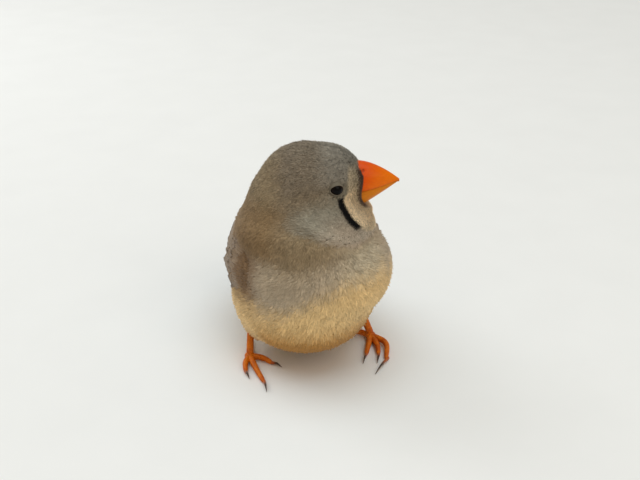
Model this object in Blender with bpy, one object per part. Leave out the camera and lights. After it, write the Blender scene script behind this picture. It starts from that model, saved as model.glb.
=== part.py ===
"""Zebra finch, adult female: a still, life-size figure, fluffed up and squatting, head turned to its left.

The bird faces -Y, its left side is +X and the floor is z = 0.  Sizes are in millimetres until a mesh is made.
"""

import math

import bmesh
import bpy
import numpy as np

MM = 0.001
GAP = 0.3                      # clear space between two nodes that touch

# Torso: rounded masses seen from one middle point
TORSO_MIDDLE = (0.0, 3.0, 25.0)
BELLY_AT, BELLY_HALF = (-1.8, 0.6, 17.0), (17.7, 19.4, 13.8)
BREAST_AT, BREAST_HALF = (0.8, -4.5, 26.0), (18.0, 16.4, 14.6)
BACK_AT, BACK_HALF = (0.0, 7.5, 28.0), (17.2, 19.5, 13.5)
RUMP_AT, RUMP_HALF, RUMP_DROP = (0.0, 17.0, 19.5), (13.0, 21.0, 10.5), 24.0

# Neck: one collar of fluffed feathers between torso and head
NECK_AT, NECK_HALF = (-1.2, 0.0, 35.2), (16.8, 17.6, 9.6)

# Head: turned to the bird's left, level; its own axes run forward, left and up
HEAD_AT = (-0.7, 0.2, 43.4)
HEAD_TURN = 73.0
CROWN_AT, CROWN_HALF = (0.0, 0.0, 1.0), (12.0, 10.4, 11.9)
NAPE_AT, NAPE_HALF = (-3.2, 0.0, -2.0), (11.0, 11.4, 10.6)
CHEEK_AT, CHEEK_HALF = (0.6, 0.0, -5.0), (11.6, 12.4, 8.6)
FACE_AT, FACE_HALF = (4.6, 0.0, 4.3), (8.4, 8.0, 8.3)

# Bill, along the head's own axes: it keeps its full depth from root to base, and tapers from base to tip
BILL_ROOT, BILL_BASE, BILL_TIP = 8.0, 12.0, 22.0
BILL_TIP_UP, BILL_TIP_HALF = 3.8, 0.16
CULMEN_UP, GAPE_UP, CHIN_UP = 8.7, 2.3, -1.9
CULMEN_CURVE, GAPE_CURVE, CHIN_CURVE, SIDE_CURVE = 1.75, 1.3, 1.15, 1.45
BILL_WIDE, LOWER_NARROW, LOWER_SHORT, LOWER_TIP_DROP = 7.6, 0.9, 1.06, 0.5
BILL_BULGE = 0.85              # under 1 makes the cross-section fuller than an ellipse
MOUTH_LINE = 0.3
NOSTRIL_AT, NOSTRIL_WIDE = (13.6, 2.0, 7.3), 0.55

# Eyes: balls set in the sides of the head, each with a raised rim of lid round it
EYE_TOWARD = (6.6, 7.8, 4.3)   # forward, outward and up from the head's middle
EYE_LOOK = (0.35, 1.0, 0.12)   # the way the eye faces
EYE_RADIUS, EYE_SUNK = 1.95, 1.35
LID_WIDE, LID_TALL, LID_THICK, LID_UP = 1.78, 1.52, 0.34, 0.05

# Wings: a sheet that wraps the flank, from the wrist at the front to the tips of the primaries
WING_WRIST, WING_BEND, WING_TIP = (16.6, -4.0, 26.5), (21.2, 15.0, 25.5), (5.6, 47.0, 12.0)
WING_LENGTH = 56.0
WING_WRAP = (14.5, 26.0)       # radius of the wrap at the wrist and at the tip
WING_ROLL, WING_ROLL_POWER = (8.0, 46.0), 2.2  # how far the sheet faces upward, at the wrist and at the tip
ARM_LENGTH = 22.0
ARM_ACROSS = (-7.0, 9.0)
ARM_THICK = (2.2, 0.7)
ARM_LIFT, ARM_TILT = 0.4, 0.06
ARM_BLUNT, ARM_END = 3.5, 0.12  # how blunt the arm's outline is, and the width left at its two ends

# Tiers of the wing.  Pairs run from the lowest vane to the one nearest the back, but for lift, which
# runs from root to tip; rise is what each vane lies higher than the one below it.
WING_TIERS = (
    dict(count=7, root_along=(6.0, 9.0), root_across=(-6.2, -2.4), tip_along=(55.0, 46.5),
         tip_across=(-1.6, 1.4), wide=3.7, lift=(-0.55, -0.75), rise=0.20, rows=6),
    dict(count=6, root_along=(11.0, 13.0), root_across=(-5.2, 3.2), tip_along=(40.0, 36.5),
         tip_across=(-4.9, 2.4), wide=3.7, lift=(-0.15, 0.45), rise=0.22, rows=5),
    dict(count=3, root_along=(11.0, 11.0), root_across=(4.2, 7.4), tip_along=(38.0, 31.0),
         tip_across=(3.4, 6.2), wide=4.6, lift=(0.9, 1.8), rise=0.26, rows=5),
    dict(count=7, root_along=(5.0, 6.0), root_across=(-5.8, 6.8), tip_along=(20.5, 19.0),
         tip_across=(-6.0, 7.0), wide=3.0, lift=(0.35, 1.05), rise=0.19, rows=4),
    dict(count=5, root_along=(1.5, 2.5), root_across=(-4.4, 6.4), tip_along=(12.8, 11.6),
         tip_across=(-5.2, 7.0), wide=3.6, lift=(0.65, 1.45), rise=0.20, rows=4),
    dict(count=3, root_along=(6.0, 7.0), root_across=(7.0, 9.6), tip_along=(26.5, 21.0),
         tip_across=(7.0, 10.2), wide=4.6, lift=(0.9, 2.2), rise=0.24, rows=4),
)

# Every vane: its thickness, its outline from root to tip, and how its free edge rises over the next
VANE_THICK = 0.55
VANE_ROWS = (0.0, 0.2, 0.45, 0.7, 0.88, 1.0)
VANE_OUTLINE = (0.55, 0.82, 1.0, 1.0, 0.74, 0.24)
VANE_TILT = 0.12
EDGE_THIN, TIP_THIN = 0.35, 0.3
VARIED = dict(along=0.5, across=0.1, wide=0.04, lift=0.02)
WING_SEEDS = dict(right=8, left=5)

# Tail: twelve feathers in a narrow fan behind the rump, with a short tier of coverts on top
TAIL_ROOT, TAIL_TIP = (0.2, 25.0, 16.0), (2.2, 61.0, 4.6)
TAIL_CORE_LENGTH, TAIL_CORE_WIDE, TAIL_CORE_THICK, TAIL_CORE_DOWN = 13.0, (4.2, 3.6), (2.4, 0.8), 0.6
TAIL_FEATHERS, TAIL_FEATHER_WIDE = 12, 4.2
TAIL_SPREAD = (0.35, 0.86)     # spacing of the feathers at the root and at the tip
TAIL_STEP, TAIL_SIDE_STEP = 0.30, 0.12
TAIL_ROUND, TAIL_ARCH = 0.12, 0.012
COVERTS, COVERT_START, COVERT_LENGTH, COVERT_WIDE, COVERT_APART = 5, 2.0, 19.0, 4.4, 2.3
COVERT_LIFT, COVERT_STEP, COVERT_ROUND = 0.55, 0.22, 0.5
TAIL_ROWS, COVERT_ROWS, TAIL_SEED = 6, 5, 5

# Legs
SHANK_RADIUS = (1.05, 0.95)
TOE_RADIUS = (0.85, 0.6)
CLAW_RADIUS = (0.52, 0.14)
SOLE_RADIUS = 1.35
SOLE_UP = 1.05
THIGH_HALF, THIGH_DOWN, THIGH_IN = (3.9, 5.8, 5.5), 1.5, 1.0
SHANK_BEND = 0.6               # where along the shank its middle point lies
CLAW_CREST, CLAW_ROOT = 0.45, 0.15

# How finely each form is divided: rings and sides
TORSO_GRID, NECK_GRID, HEAD_GRID, THIGH_GRID = (24, 32), (14, 28), (22, 32), (10, 16)
EYE_GRID, NOSTRIL_GRID, SOLE_GRID = (9, 14), (6, 8), (8, 12)
LID_GRID, BILL_GRID, ARM_GRID, TAIL_CORE_GRID = (14, 6), (9, 9), (9, 14), (5, 12)
TOE_SIDES, CLAW_SIDES = 7, 6
SHANK_STEPS, TOE_STEPS = 4, 3

COLOURS = {
    "grey": (0.19, 0.165, 0.13), "brown": (0.16, 0.11, 0.065), "cream": (0.45, 0.32, 0.15),
    "red": (0.75, 0.10, 0.004), "orange": (0.55, 0.18, 0.01), "foot": (0.40, 0.10, 0.01),
    "claw": (0.06, 0.045, 0.035), "eye": (0.01, 0.01, 0.012), "dark": (0.05, 0.04, 0.035),
}


def clear_scene():
    """Empty the scene of objects and meshes."""
    for thing in list(bpy.data.objects):
        bpy.data.objects.remove(thing)
    for mesh in list(bpy.data.meshes):
        bpy.data.meshes.remove(mesh)


def unit(vectors):
    """Vectors scaled to length one."""
    vectors = np.asarray(vectors, float)
    return vectors / np.linalg.norm(vectors, axis=-1, keepdims=True)


def turn_about_x(degrees):
    """Rotation matrix about X."""
    c, s = math.cos(math.radians(degrees)), math.sin(math.radians(degrees))
    return np.array([[1, 0, 0], [0, c, -s], [0, s, c]])


def head_axes():
    """The head's forward, left and up directions as rows."""
    turn = math.radians(HEAD_TURN)
    forward = np.array([math.sin(turn), -math.cos(turn), 0.0])
    up = np.array([0.0, 0.0, 1.0])
    return np.array([forward, np.cross(up, forward), up])


def in_head(points):
    """Points given forward, left and up of the head's middle, in the bird's frame."""
    return np.asarray(HEAD_AT) + np.asarray(points, float) @ head_axes()


def outward(points, faces):
    """The faces wound so that the closed body they bound has a positive volume."""
    corners = np.array([points[list(face[:3])] for face in faces])
    extra = [points[[face[0], face[2], face[3]]] for face in faces if len(face) == 4]
    corners = np.concatenate([corners, np.array(extra).reshape(-1, 3, 3)]) - points.mean(0)
    volume = np.einsum("ij,ij->i", corners[:, 0], np.cross(corners[:, 1], corners[:, 2])).sum()
    return faces if volume > 0 else [face[::-1] for face in faces]


def make_object(name, points, faces, colour, rough=0.7):
    """A mesh object from points in millimetres, smooth shaded, with its own material."""
    points = np.asarray(points, float)
    faces = outward(points, [tuple(map(int, face)) for face in faces])
    mesh = bpy.data.meshes.new(name)
    mesh.from_pydata((points * MM).tolist(), [], faces)
    mesh.shade_smooth()
    mesh.set_sharp_from_angle(angle=math.radians(50))
    thing = bpy.data.objects.new(name, mesh)
    bpy.context.scene.collection.objects.link(thing)
    if colour is not None:
        material = bpy.data.materials.new(name)
        material.use_nodes = True
        surface = material.node_tree.nodes["Principled BSDF"]
        surface.inputs["Base Color"].default_value = (*COLOURS[colour], 1.0)
        surface.inputs["Roughness"].default_value = rough
        surface.inputs["Metallic"].default_value = 0.0
        mesh.materials.append(material)
    return thing


def loft(name, rings, colour=None, rough=0.7):
    """A closed body through rings of equal point counts, its first and last ring closed by a fan."""
    rings = np.asarray(rings, float)
    count, sides, _ = rings.shape
    points = np.concatenate([rings.reshape(-1, 3), rings[0].mean(0)[None], rings[-1].mean(0)[None]])
    here, after = np.arange(sides), (np.arange(sides) + 1) % sides
    faces = []
    for row in range(count - 1):
        a, b = row * sides, (row + 1) * sides
        faces += list(zip(a + here, a + after, b + after, b + here))
    first, last = count * sides, count * sides + 1
    faces += [(first, after[i], here[i]) for i in range(sides)]
    faces += [(last, (count - 1) * sides + here[i], (count - 1) * sides + after[i]) for i in range(sides)]
    return make_object(name, points, faces, colour, rough)


def reach(rays, start, ball):
    """How far each ray from the start runs before it leaves an ellipsoid that holds the start."""
    centre, half, turn = ball
    along = (rays @ turn) / half
    offset = ((np.asarray(start) - centre) @ turn) / half
    a = (along ** 2).sum(-1)
    b = along @ offset
    c = (offset ** 2).sum() - 1.0
    return (-b + np.sqrt(np.maximum(b * b - a * c, 0.0))) / a


def blend_reach(rays, start, balls, power=14.0):
    """The farthest of several reaches, with the valleys between them filled softly."""
    far = np.array([reach(rays, start, ball) for ball in balls])
    return (far ** power).sum(0) ** (1.0 / power)


def mass(name, start, balls, grid, pole, colour=None):
    """A closed body round the start: the soft union of ellipsoids, on a grid of rays with two poles."""
    rings, sides = grid
    pole = unit(pole)
    side = unit(np.cross(pole, (0.37, 0.61, 0.7)))
    third = np.cross(pole, side)
    polar = np.pi * (np.arange(rings) + 0.5) / rings
    round_ = 2 * np.pi * np.arange(sides) / sides
    polar, round_ = np.meshgrid(polar, round_, indexing="ij")
    rays = (np.cos(polar)[..., None] * pole + np.sin(polar)[..., None]
            * (np.cos(round_)[..., None] * side + np.sin(round_)[..., None] * third))
    rows = np.asarray(start) + rays * blend_reach(rays, start, balls)[..., None]
    ends = np.array([pole, -pole])
    ends = np.asarray(start) + ends * blend_reach(ends, start, balls)[:, None]
    points = np.concatenate([rows.reshape(-1, 3), ends])
    here, after = np.arange(sides), (np.arange(sides) + 1) % sides
    faces = []
    for row in range(rings - 1):
        a, b = row * sides, (row + 1) * sides
        faces += list(zip(a + here, b + here, b + after, a + after))
    first, last = rings * sides, rings * sides + 1
    faces += [(first, here[i], after[i]) for i in range(sides)]
    faces += [(last, (rings - 1) * sides + after[i], (rings - 1) * sides + here[i]) for i in range(sides)]
    return make_object(name, points, faces, colour)


def smooth_path(points, steps):
    """A Catmull-Rom curve through the points, with the given number of steps on each span."""
    points = np.asarray(points, float)
    padded = np.concatenate([[2 * points[0] - points[1]], points, [2 * points[-1] - points[-2]]])
    t = (np.arange(steps) / steps)[:, None]
    spans = []
    for a, b, c, d in zip(padded, padded[1:], padded[2:], padded[3:]):
        spans.append(0.5 * (2 * b + (c - a) * t + (2 * a - 5 * b + 4 * c - d) * t ** 2
                            + (3 * b - a - 3 * c + d) * t ** 3))
    return np.concatenate(spans + [points[-1:]])


def tube(name, path, radii, colour=None, sides=TOE_SIDES, rough=0.5):
    """A round bar along a path, its radius running between the given ones, flat where it meets the floor."""
    path = np.asarray(path, float)
    along = np.linspace(0.0, 1.0, len(path))
    radius = np.interp(along, np.linspace(0.0, 1.0, len(radii)), radii)
    forward = unit(np.gradient(path, axis=0))
    side = unit(np.cross(forward, (0.0, 0.0, 1.0)) + np.array([1e-4, 0, 0]))
    up = np.cross(side, forward)
    turn = 2 * np.pi * (np.arange(sides) + 0.5) / sides
    rings = (path[:, None] + radius[:, None, None]
             * (np.cos(turn)[None, :, None] * side[:, None] + np.sin(turn)[None, :, None] * up[:, None]))
    rings[..., 2] = np.maximum(rings[..., 2], 0.0)
    return loft(name, rings[:, ::-1], colour, rough)


def ball_at(name, centre, half, grid, colour=None):
    """An upright ellipsoid as a closed body."""
    ball = (np.asarray(centre, float), np.asarray(half, float), np.eye(3))
    return mass(name, centre, [ball], grid, (0, 0, 1), colour)


def combine(target, tool, operation):
    """Apply one Boolean of a closed tool to a closed target, then drop the tool."""
    step = target.modifiers.new("join", "BOOLEAN")
    step.operation = operation
    step.solver = "MANIFOLD"
    step.object = tool
    settle(target)
    bpy.data.objects.remove(tool)


def settle(target):
    """Replace an object's mesh by its evaluated one and keep only the largest closed surface."""
    evaluated = target.evaluated_get(bpy.context.evaluated_depsgraph_get())
    mesh = bpy.data.meshes.new_from_object(evaluated)
    target.modifiers.clear()
    old = target.data
    target.data = mesh
    mesh.name = target.name
    bpy.data.meshes.remove(old)
    keep_largest(mesh)


def keep_largest(mesh):
    """Delete every loose surface but the one that fills the largest box."""
    points = np.array([v.co for v in mesh.vertices])
    parent = np.arange(len(points))
    edges = np.array([e.vertices for e in mesh.edges])
    changed = True
    while changed:
        low = np.minimum(parent[edges[:, 0]], parent[edges[:, 1]])
        new = parent.copy()
        np.minimum.at(new, edges[:, 0], low)
        np.minimum.at(new, edges[:, 1], low)
        new = new[new]
        changed = bool((new != parent).any())
        parent = new
    groups = np.unique(parent)
    if len(groups) == 1:
        return
    sizes = [np.ptp(points[parent == g], axis=0).prod() for g in groups]
    best = groups[int(np.argmax(sizes))]
    body = bmesh.new()
    body.from_mesh(mesh)
    body.verts.ensure_lookup_table()
    loose = [body.verts[i] for i in np.nonzero(parent != best)[0]]
    bmesh.ops.delete(body, geom=loose, context="VERTS")
    body.to_mesh(mesh)
    body.free()


def torso_balls(swell=0.0):
    """The torso's rounded masses, each grown by the swell."""
    flat = np.eye(3)
    return [(np.array(BELLY_AT), np.add(BELLY_HALF, swell), flat),
            (np.array(BREAST_AT), np.add(BREAST_HALF, swell), flat),
            (np.array(BACK_AT), np.add(BACK_HALF, swell), flat),
            (np.array(RUMP_AT), np.add(RUMP_HALF, swell), turn_about_x(-RUMP_DROP))]


def torso_body(name, swell=0.0, colour=None):
    """The torso as one egg with breast, back and rump."""
    return mass(name, TORSO_MIDDLE, torso_balls(swell), TORSO_GRID, (0, 1, -0.35), colour)


def neck_body(name, swell=0.0, colour=None):
    """The collar as one flattened ball."""
    return ball_at(name, NECK_AT, np.add(NECK_HALF, swell), NECK_GRID, colour)


def head_balls(swell=0.0):
    """Crown, nape, cheeks and face, each grown by the swell."""
    turn = head_axes().T
    parts = ((CROWN_AT, CROWN_HALF), (NAPE_AT, NAPE_HALF), (CHEEK_AT, CHEEK_HALF), (FACE_AT, FACE_HALF))
    return [(in_head(at), np.add(half, swell), turn) for at, half in parts]


def head_body(name, swell=0.0, colour=None):
    """The head as crown, nape, cheeks and face, run together."""
    return mass(name, HEAD_AT, head_balls(swell), HEAD_GRID, (0, 0, 1), colour)


def eye_seat(side):
    """Middle of one eyeball and the way it looks; side is -1 on the bird's right and 1 on its left."""
    toward = unit(np.multiply(EYE_TOWARD, (1, side, 1)) @ head_axes())
    surface = np.asarray(HEAD_AT) + toward * blend_reach(toward[None], HEAD_AT, head_balls())
    look = unit(np.multiply(EYE_LOOK, (1, side, 1)) @ head_axes())
    return surface - EYE_SUNK * look, look


def make_head():
    """The head with its eye sockets and lids."""
    head = head_body("head", colour="grey")
    for side in (-1, 1):
        middle, look = eye_seat(side)
        across = unit(np.cross(look, (0, 0, 1)))
        over = np.cross(across, look)
        turn = 2 * np.pi * np.arange(LID_GRID[0])[:, None] / LID_GRID[0]
        rim = middle + look * (EYE_SUNK + LID_UP)
        ring = rim + LID_WIDE * np.cos(turn) * across + LID_TALL * np.sin(turn) * over
        combine(head, ring_tube("lid", ring, look, LID_THICK), "UNION")
        combine(head, ball_at("socket", middle, (EYE_RADIUS + GAP,) * 3, EYE_GRID), "DIFFERENCE")
    return head


def ring_tube(name, ring, axis, thick):
    """A closed ring of round bar through the given points."""
    ring = np.asarray(ring)
    middle = ring.mean(0)
    out = unit(ring - middle)
    turn = 2 * np.pi * np.arange(LID_GRID[1]) / LID_GRID[1]
    grid = ring[:, None] + thick * (np.cos(turn)[None, :, None] * out[:, None]
                                    + np.sin(turn)[None, :, None] * axis)
    count, sides = grid.shape[:2]
    faces = []
    for row in range(count):
        a, b = row * sides, ((row + 1) % count) * sides
        for i in range(sides):
            j = (i + 1) % sides
            faces.append((a + i, b + i, b + j, a + j))
    return make_object(name, grid.reshape(-1, 3), faces, None)


def make_eyes():
    """One glossy ball in each socket."""
    for side, name in ((-1, "right_eye"), (1, "left_eye")):
        ball_at(name, eye_seat(side)[0], (EYE_RADIUS,) * 3, EYE_GRID, "eye")


def bill_rings(upper):
    """Cross-sections of one half of the bill, from inside the face to the tip."""
    ahead = np.linspace(BILL_ROOT, BILL_TIP, BILL_GRID[0])
    slope = np.clip((ahead - BILL_BASE) / (BILL_TIP - BILL_BASE), 0.0, 1.0)
    mouth = GAPE_UP + (BILL_TIP_UP - GAPE_UP) * slope ** GAPE_CURVE
    half = 0.5 * BILL_WIDE * (1.0 - slope ** SIDE_CURVE) + BILL_TIP_HALF
    if upper:
        edge = CULMEN_UP + (BILL_TIP_UP + BILL_TIP_HALF - CULMEN_UP) * slope ** CULMEN_CURVE
        base = mouth + 0.5 * MOUTH_LINE
    else:
        half = half * LOWER_NARROW
        short = np.clip(slope * LOWER_SHORT, 0.0, 1.0)
        edge = CHIN_UP + (BILL_TIP_UP - LOWER_TIP_DROP - CHIN_UP) * short ** CHIN_CURVE
        base = mouth - 0.5 * MOUTH_LINE
    turn = np.linspace(0.0, np.pi, BILL_GRID[1])
    across = np.cos(turn)[None] * half[:, None]
    over = base[:, None] + (edge - base)[:, None] * np.sin(turn)[None] ** BILL_BULGE
    rings = np.stack([np.broadcast_to(ahead[:, None], across.shape), across, over], -1)
    return in_head(rings) if upper else in_head(rings[:, ::-1])


def make_bill():
    """Upper and lower bill, parted by the line of the mouth, with a nostril on each side."""
    upper = loft("upper_bill", bill_rings(True), "red", 0.3)
    lower = loft("lower_bill", bill_rings(False)[:-1], "orange", 0.3)
    for half in (upper, lower):
        combine(half, head_body("clear", GAP), "DIFFERENCE")
    for side in (-1, 1):
        at = np.multiply(NOSTRIL_AT, (1, side, 1))
        pit = ball_at("pit", in_head(at), (NOSTRIL_WIDE,) * 3, NOSTRIL_GRID)
        combine(upper, pit, "DIFFERENCE")


def wing_point(along, across, lift, side):
    """A point of the wing's sheet: along from the wrist, across toward the back, lifted off the body.

    The wrist, bend and tip give a curve; across it the sheet is an arc whose middle lies inside the body.
    """
    along, across, lift = np.broadcast_arrays(*(np.asarray(v, float) for v in (along, across, lift)))
    t = (along / WING_LENGTH)[..., None]
    a, b, c = (np.asarray(p) for p in (WING_WRIST, WING_BEND, WING_TIP))
    line = (1 - t) ** 2 * a + 2 * t * (1 - t) * b + t ** 2 * c
    forward = unit(2 * (1 - t) * (b - a) + 2 * t * (c - b))
    roll = np.radians(WING_ROLL[0] + (WING_ROLL[1] - WING_ROLL[0]) * t ** WING_ROLL_POWER)
    facing = np.concatenate([np.cos(roll), 0 * roll, np.sin(roll)], -1)
    over = unit(np.cross(facing, forward))
    facing = np.cross(forward, over)
    wrap = (WING_WRAP[0] + (WING_WRAP[1] - WING_WRAP[0]) * t)
    bend = across[..., None] / wrap
    point = line + (wrap + lift[..., None]) * (np.sin(bend) * over + np.cos(bend) * facing) - wrap * facing
    return point * np.array([side, 1.0, 1.0])


def thin_sheet(name, top, bottom):
    """A closed plate between two grids of points, split into triangles alike on both faces."""
    rows, cols = top.shape[:2]
    points = np.concatenate([top.reshape(-1, 3), bottom.reshape(-1, 3)])
    cell = np.arange(rows * cols).reshape(rows, cols)
    a, b, c, d = (part.ravel() for part in (cell[:-1, :-1], cell[1:, :-1], cell[1:, 1:], cell[:-1, 1:]))
    upper = np.concatenate([np.stack([a, b, c], 1), np.stack([a, c, d], 1)])
    lower = upper[:, ::-1] + rows * cols
    rim = np.concatenate([cell[:, 0], cell[-1, 1:], cell[-2::-1, -1], cell[0, -2:0:-1]])
    after = np.roll(rim, -1)
    under, under_after = rim + rows * cols, after + rows * cols
    wall = np.concatenate([np.stack([rim, under, under_after], 1), np.stack([rim, under_after, after], 1)])
    return make_object(name, points, np.concatenate([upper, lower, wall]), None)


def vane_shape(rows):
    """A vane's stations from root to tip, its half width at each, and the half thickness of its grid."""
    t = np.interp(np.linspace(0.0, 1.0, rows), np.linspace(0.0, 1.0, len(VANE_ROWS)), VANE_ROWS)
    outline = np.interp(t, VANE_ROWS, VANE_OUTLINE)
    columns = np.array([-1.0, 0.0, 1.0])
    half = 0.5 * VANE_THICK * (1.0 - EDGE_THIN * np.abs(columns)) * (1.0 - TIP_THIN * t[:, None])
    return t[:, None], outline[:, None] * columns, half, columns


def wing_vane(root, tip, wide, lifts, rows, side):
    """One feather of the wing, its lower edge raised over its neighbour."""
    t, spread, half, columns = vane_shape(rows)
    along = root[0] + (tip[0] - root[0]) * t
    across = root[1] + (tip[1] - root[1]) * t + 0.5 * wide * spread
    lift = lifts[0] + (lifts[1] - lifts[0]) * t - VANE_TILT * columns
    return thin_sheet("vane", wing_point(along, across, lift + half, side),
                      wing_point(along, across, lift - half, side))


def wing_vanes(side, draw):
    """All tiers of one wing's feathers, each a little unlike the next."""
    for tier in WING_TIERS:
        for step in range(tier["count"]):
            part = step / (tier["count"] - 1)
            keys = ("root_along", "root_across", "tip_along", "tip_across")
            ends = [first + (last - first) * part for first, last in (tier[key] for key in keys)]
            root_along, root_across, tip_along, tip_across = ends
            tip_along += draw.uniform(-1, 1) * VARIED["along"]
            tip_across += draw.uniform(-1, 1) * VARIED["across"]
            wide = tier["wide"] * (1.0 + draw.uniform(-1, 1) * VARIED["wide"])
            rise = tier["rise"] * step + draw.uniform(-1, 1) * VARIED["lift"]
            lifts = [lift + rise for lift in tier["lift"]]
            root, tip = (root_along, root_across), (tip_along, tip_across)
            yield wing_vane(root, tip, wide, lifts, tier["rows"], side)


def fuse(core, pieces):
    """One union of a core with a collection of closed pieces, which are then removed."""
    group = bpy.data.collections.new("pieces")
    for piece in pieces:
        group.objects.link(piece)
    step = core.modifiers.new("fuse", "BOOLEAN")
    step.operation = "UNION"
    step.operand_type = "COLLECTION"
    step.collection = group
    step.solver = "MANIFOLD"
    settle(core)
    for piece in list(group.objects):
        bpy.data.objects.remove(piece)
    bpy.data.collections.remove(group)


def make_wing(side, name, seed):
    """One folded wing: the arm on the flank, with its tiers of feathers reaching past the rump."""
    along = np.linspace(0.0, ARM_LENGTH, ARM_GRID[0])
    part = along / ARM_LENGTH
    swell = np.maximum(1.0 - np.abs(2.0 * part - 1.0) ** ARM_BLUNT, ARM_END)
    middle = 0.5 * sum(ARM_ACROSS)
    half = 0.5 * (ARM_ACROSS[1] - ARM_ACROSS[0]) * swell
    thick = ARM_THICK[0] + (ARM_THICK[1] - ARM_THICK[0]) * part
    turn = 2 * np.pi * np.arange(ARM_GRID[1]) / ARM_GRID[1]
    across = middle + half[:, None] * np.cos(turn)
    lift = ARM_LIFT + 0.5 * thick[:, None] * np.sin(turn) + ARM_TILT * (across - ARM_ACROSS[0])
    wing = loft(name, wing_point(along[:, None], across, lift, side), "brown")
    fuse(wing, wing_vanes(side, np.random.default_rng(seed)))
    combine(wing, torso_body("clear", GAP), "DIFFERENCE")
    combine(wing, neck_body("clear", GAP), "DIFFERENCE")
    combine(wing, head_body("clear", GAP), "DIFFERENCE")


def tail_axes():
    """The tail's root, its length, and its back, side and upper directions."""
    root, tip = np.array(TAIL_ROOT), np.array(TAIL_TIP)
    back = unit(tip - root)
    side = unit(np.cross(back, (0, 0, 1)))
    return root, np.linalg.norm(tip - root), back, side, np.cross(side, back)


def tail_vane(offset, start, length, wide, lift, rows):
    """One feather of the tail, set off to one side and raised by the lift."""
    root, full, back, side, over = tail_axes()
    t, spread, half, columns = vane_shape(rows)
    reach_back = start + length * t
    fan = TAIL_SPREAD[0] + (TAIL_SPREAD[1] - TAIL_SPREAD[0]) * reach_back / full
    across = offset * fan + 0.5 * wide * spread
    up = lift - VANE_TILT * np.sign(offset) * columns - TAIL_ARCH * across ** 2
    middle = root + reach_back[..., None] * back + across[..., None] * side
    return thin_sheet("vane", middle + (up + half)[..., None] * over, middle + (up - half)[..., None] * over)


def tail_vanes(draw):
    """The tail feathers, the middle pair on top, and the coverts over their roots."""
    full = tail_axes()[1]
    for step in range(TAIL_FEATHERS):
        offset = step - 0.5 * (TAIL_FEATHERS - 1)
        rank = abs(offset) - 0.5
        length = full - TAIL_ROUND * rank ** 2 + draw.uniform(-1, 1) * VARIED["along"]
        lift = -TAIL_STEP * rank - TAIL_SIDE_STEP * (offset > 0)
        yield tail_vane(offset, 0.0, length, TAIL_FEATHER_WIDE, lift, TAIL_ROWS)
    for step in range(COVERTS):
        offset = (step - 0.5 * (COVERTS - 1)) * COVERT_APART
        length = COVERT_LENGTH - COVERT_ROUND * abs(offset) + draw.uniform(-1, 1) * VARIED["along"]
        lift = COVERT_LIFT - COVERT_STEP * abs(offset)
        yield tail_vane(offset, COVERT_START, length, COVERT_WIDE, lift, COVERT_ROWS)


def make_tail():
    """The tail: a short wedge of flesh under the rump that carries the fan of feathers."""
    root, _, back, side, over = tail_axes()
    count, sides = TAIL_CORE_GRID
    line = root + back * np.linspace(0.0, TAIL_CORE_LENGTH, count)[:, None]
    turn = 2 * np.pi * np.arange(sides)[:, None] / sides
    wide, thick = (np.linspace(*pair, count)[:, None, None] for pair in (TAIL_CORE_WIDE, TAIL_CORE_THICK))
    rings = line[:, None] + wide * np.cos(turn) * side + (thick * np.sin(turn) - TAIL_CORE_DOWN) * over
    tail = loft("tail", rings, "dark")
    fuse(tail, tail_vanes(np.random.default_rng(TAIL_SEED)))
    combine(tail, torso_body("clear", GAP), "DIFFERENCE")


LEGS = {
    "right": dict(heel=(-13.6, 3.6, 11.0), sole=(-16.4, -0.8, SOLE_UP), toes=dict(
        inner=[(-13.4, -2.6, 1.0), (-11.6, -4.9, 0.52), (-9.6, -7.0, 0.2)],
        middle=[(-16.2, -7.0, 1.0), (-15.5, -12.6, 0.52), (-15.9, -16.2, 0.2)],
        outer=[(-18.2, -3.6, 1.0), (-18.9, -6.8, 0.52), (-18.6, -9.6, 0.2)],
        hind=[(-16.0, 3.0, 1.0), (-15.6, 6.2, 0.52), (-15.8, 10.6, 0.2)])),
    "left": dict(heel=(13.6, 3.6, 11.0), sole=(16.3, -0.4, SOLE_UP), toes=dict(
        inner=[(14.2, -4.6, 1.0), (12.3, -8.2, 0.52), (10.4, -11.4, 0.2)],
        middle=[(16.4, -5.2, 1.0), (15.4, -9.2, 0.52), (13.9, -12.2, 0.2)],
        outer=[(18.6, -5.6, 1.3), (16.6, -11.8, 0.52), (11.6, -16.8, 0.2)],
        hind=[(13.8, 2.6, 1.0), (11.8, 5.0, 0.52), (9.4, 8.6, 0.2)])),
}


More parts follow.
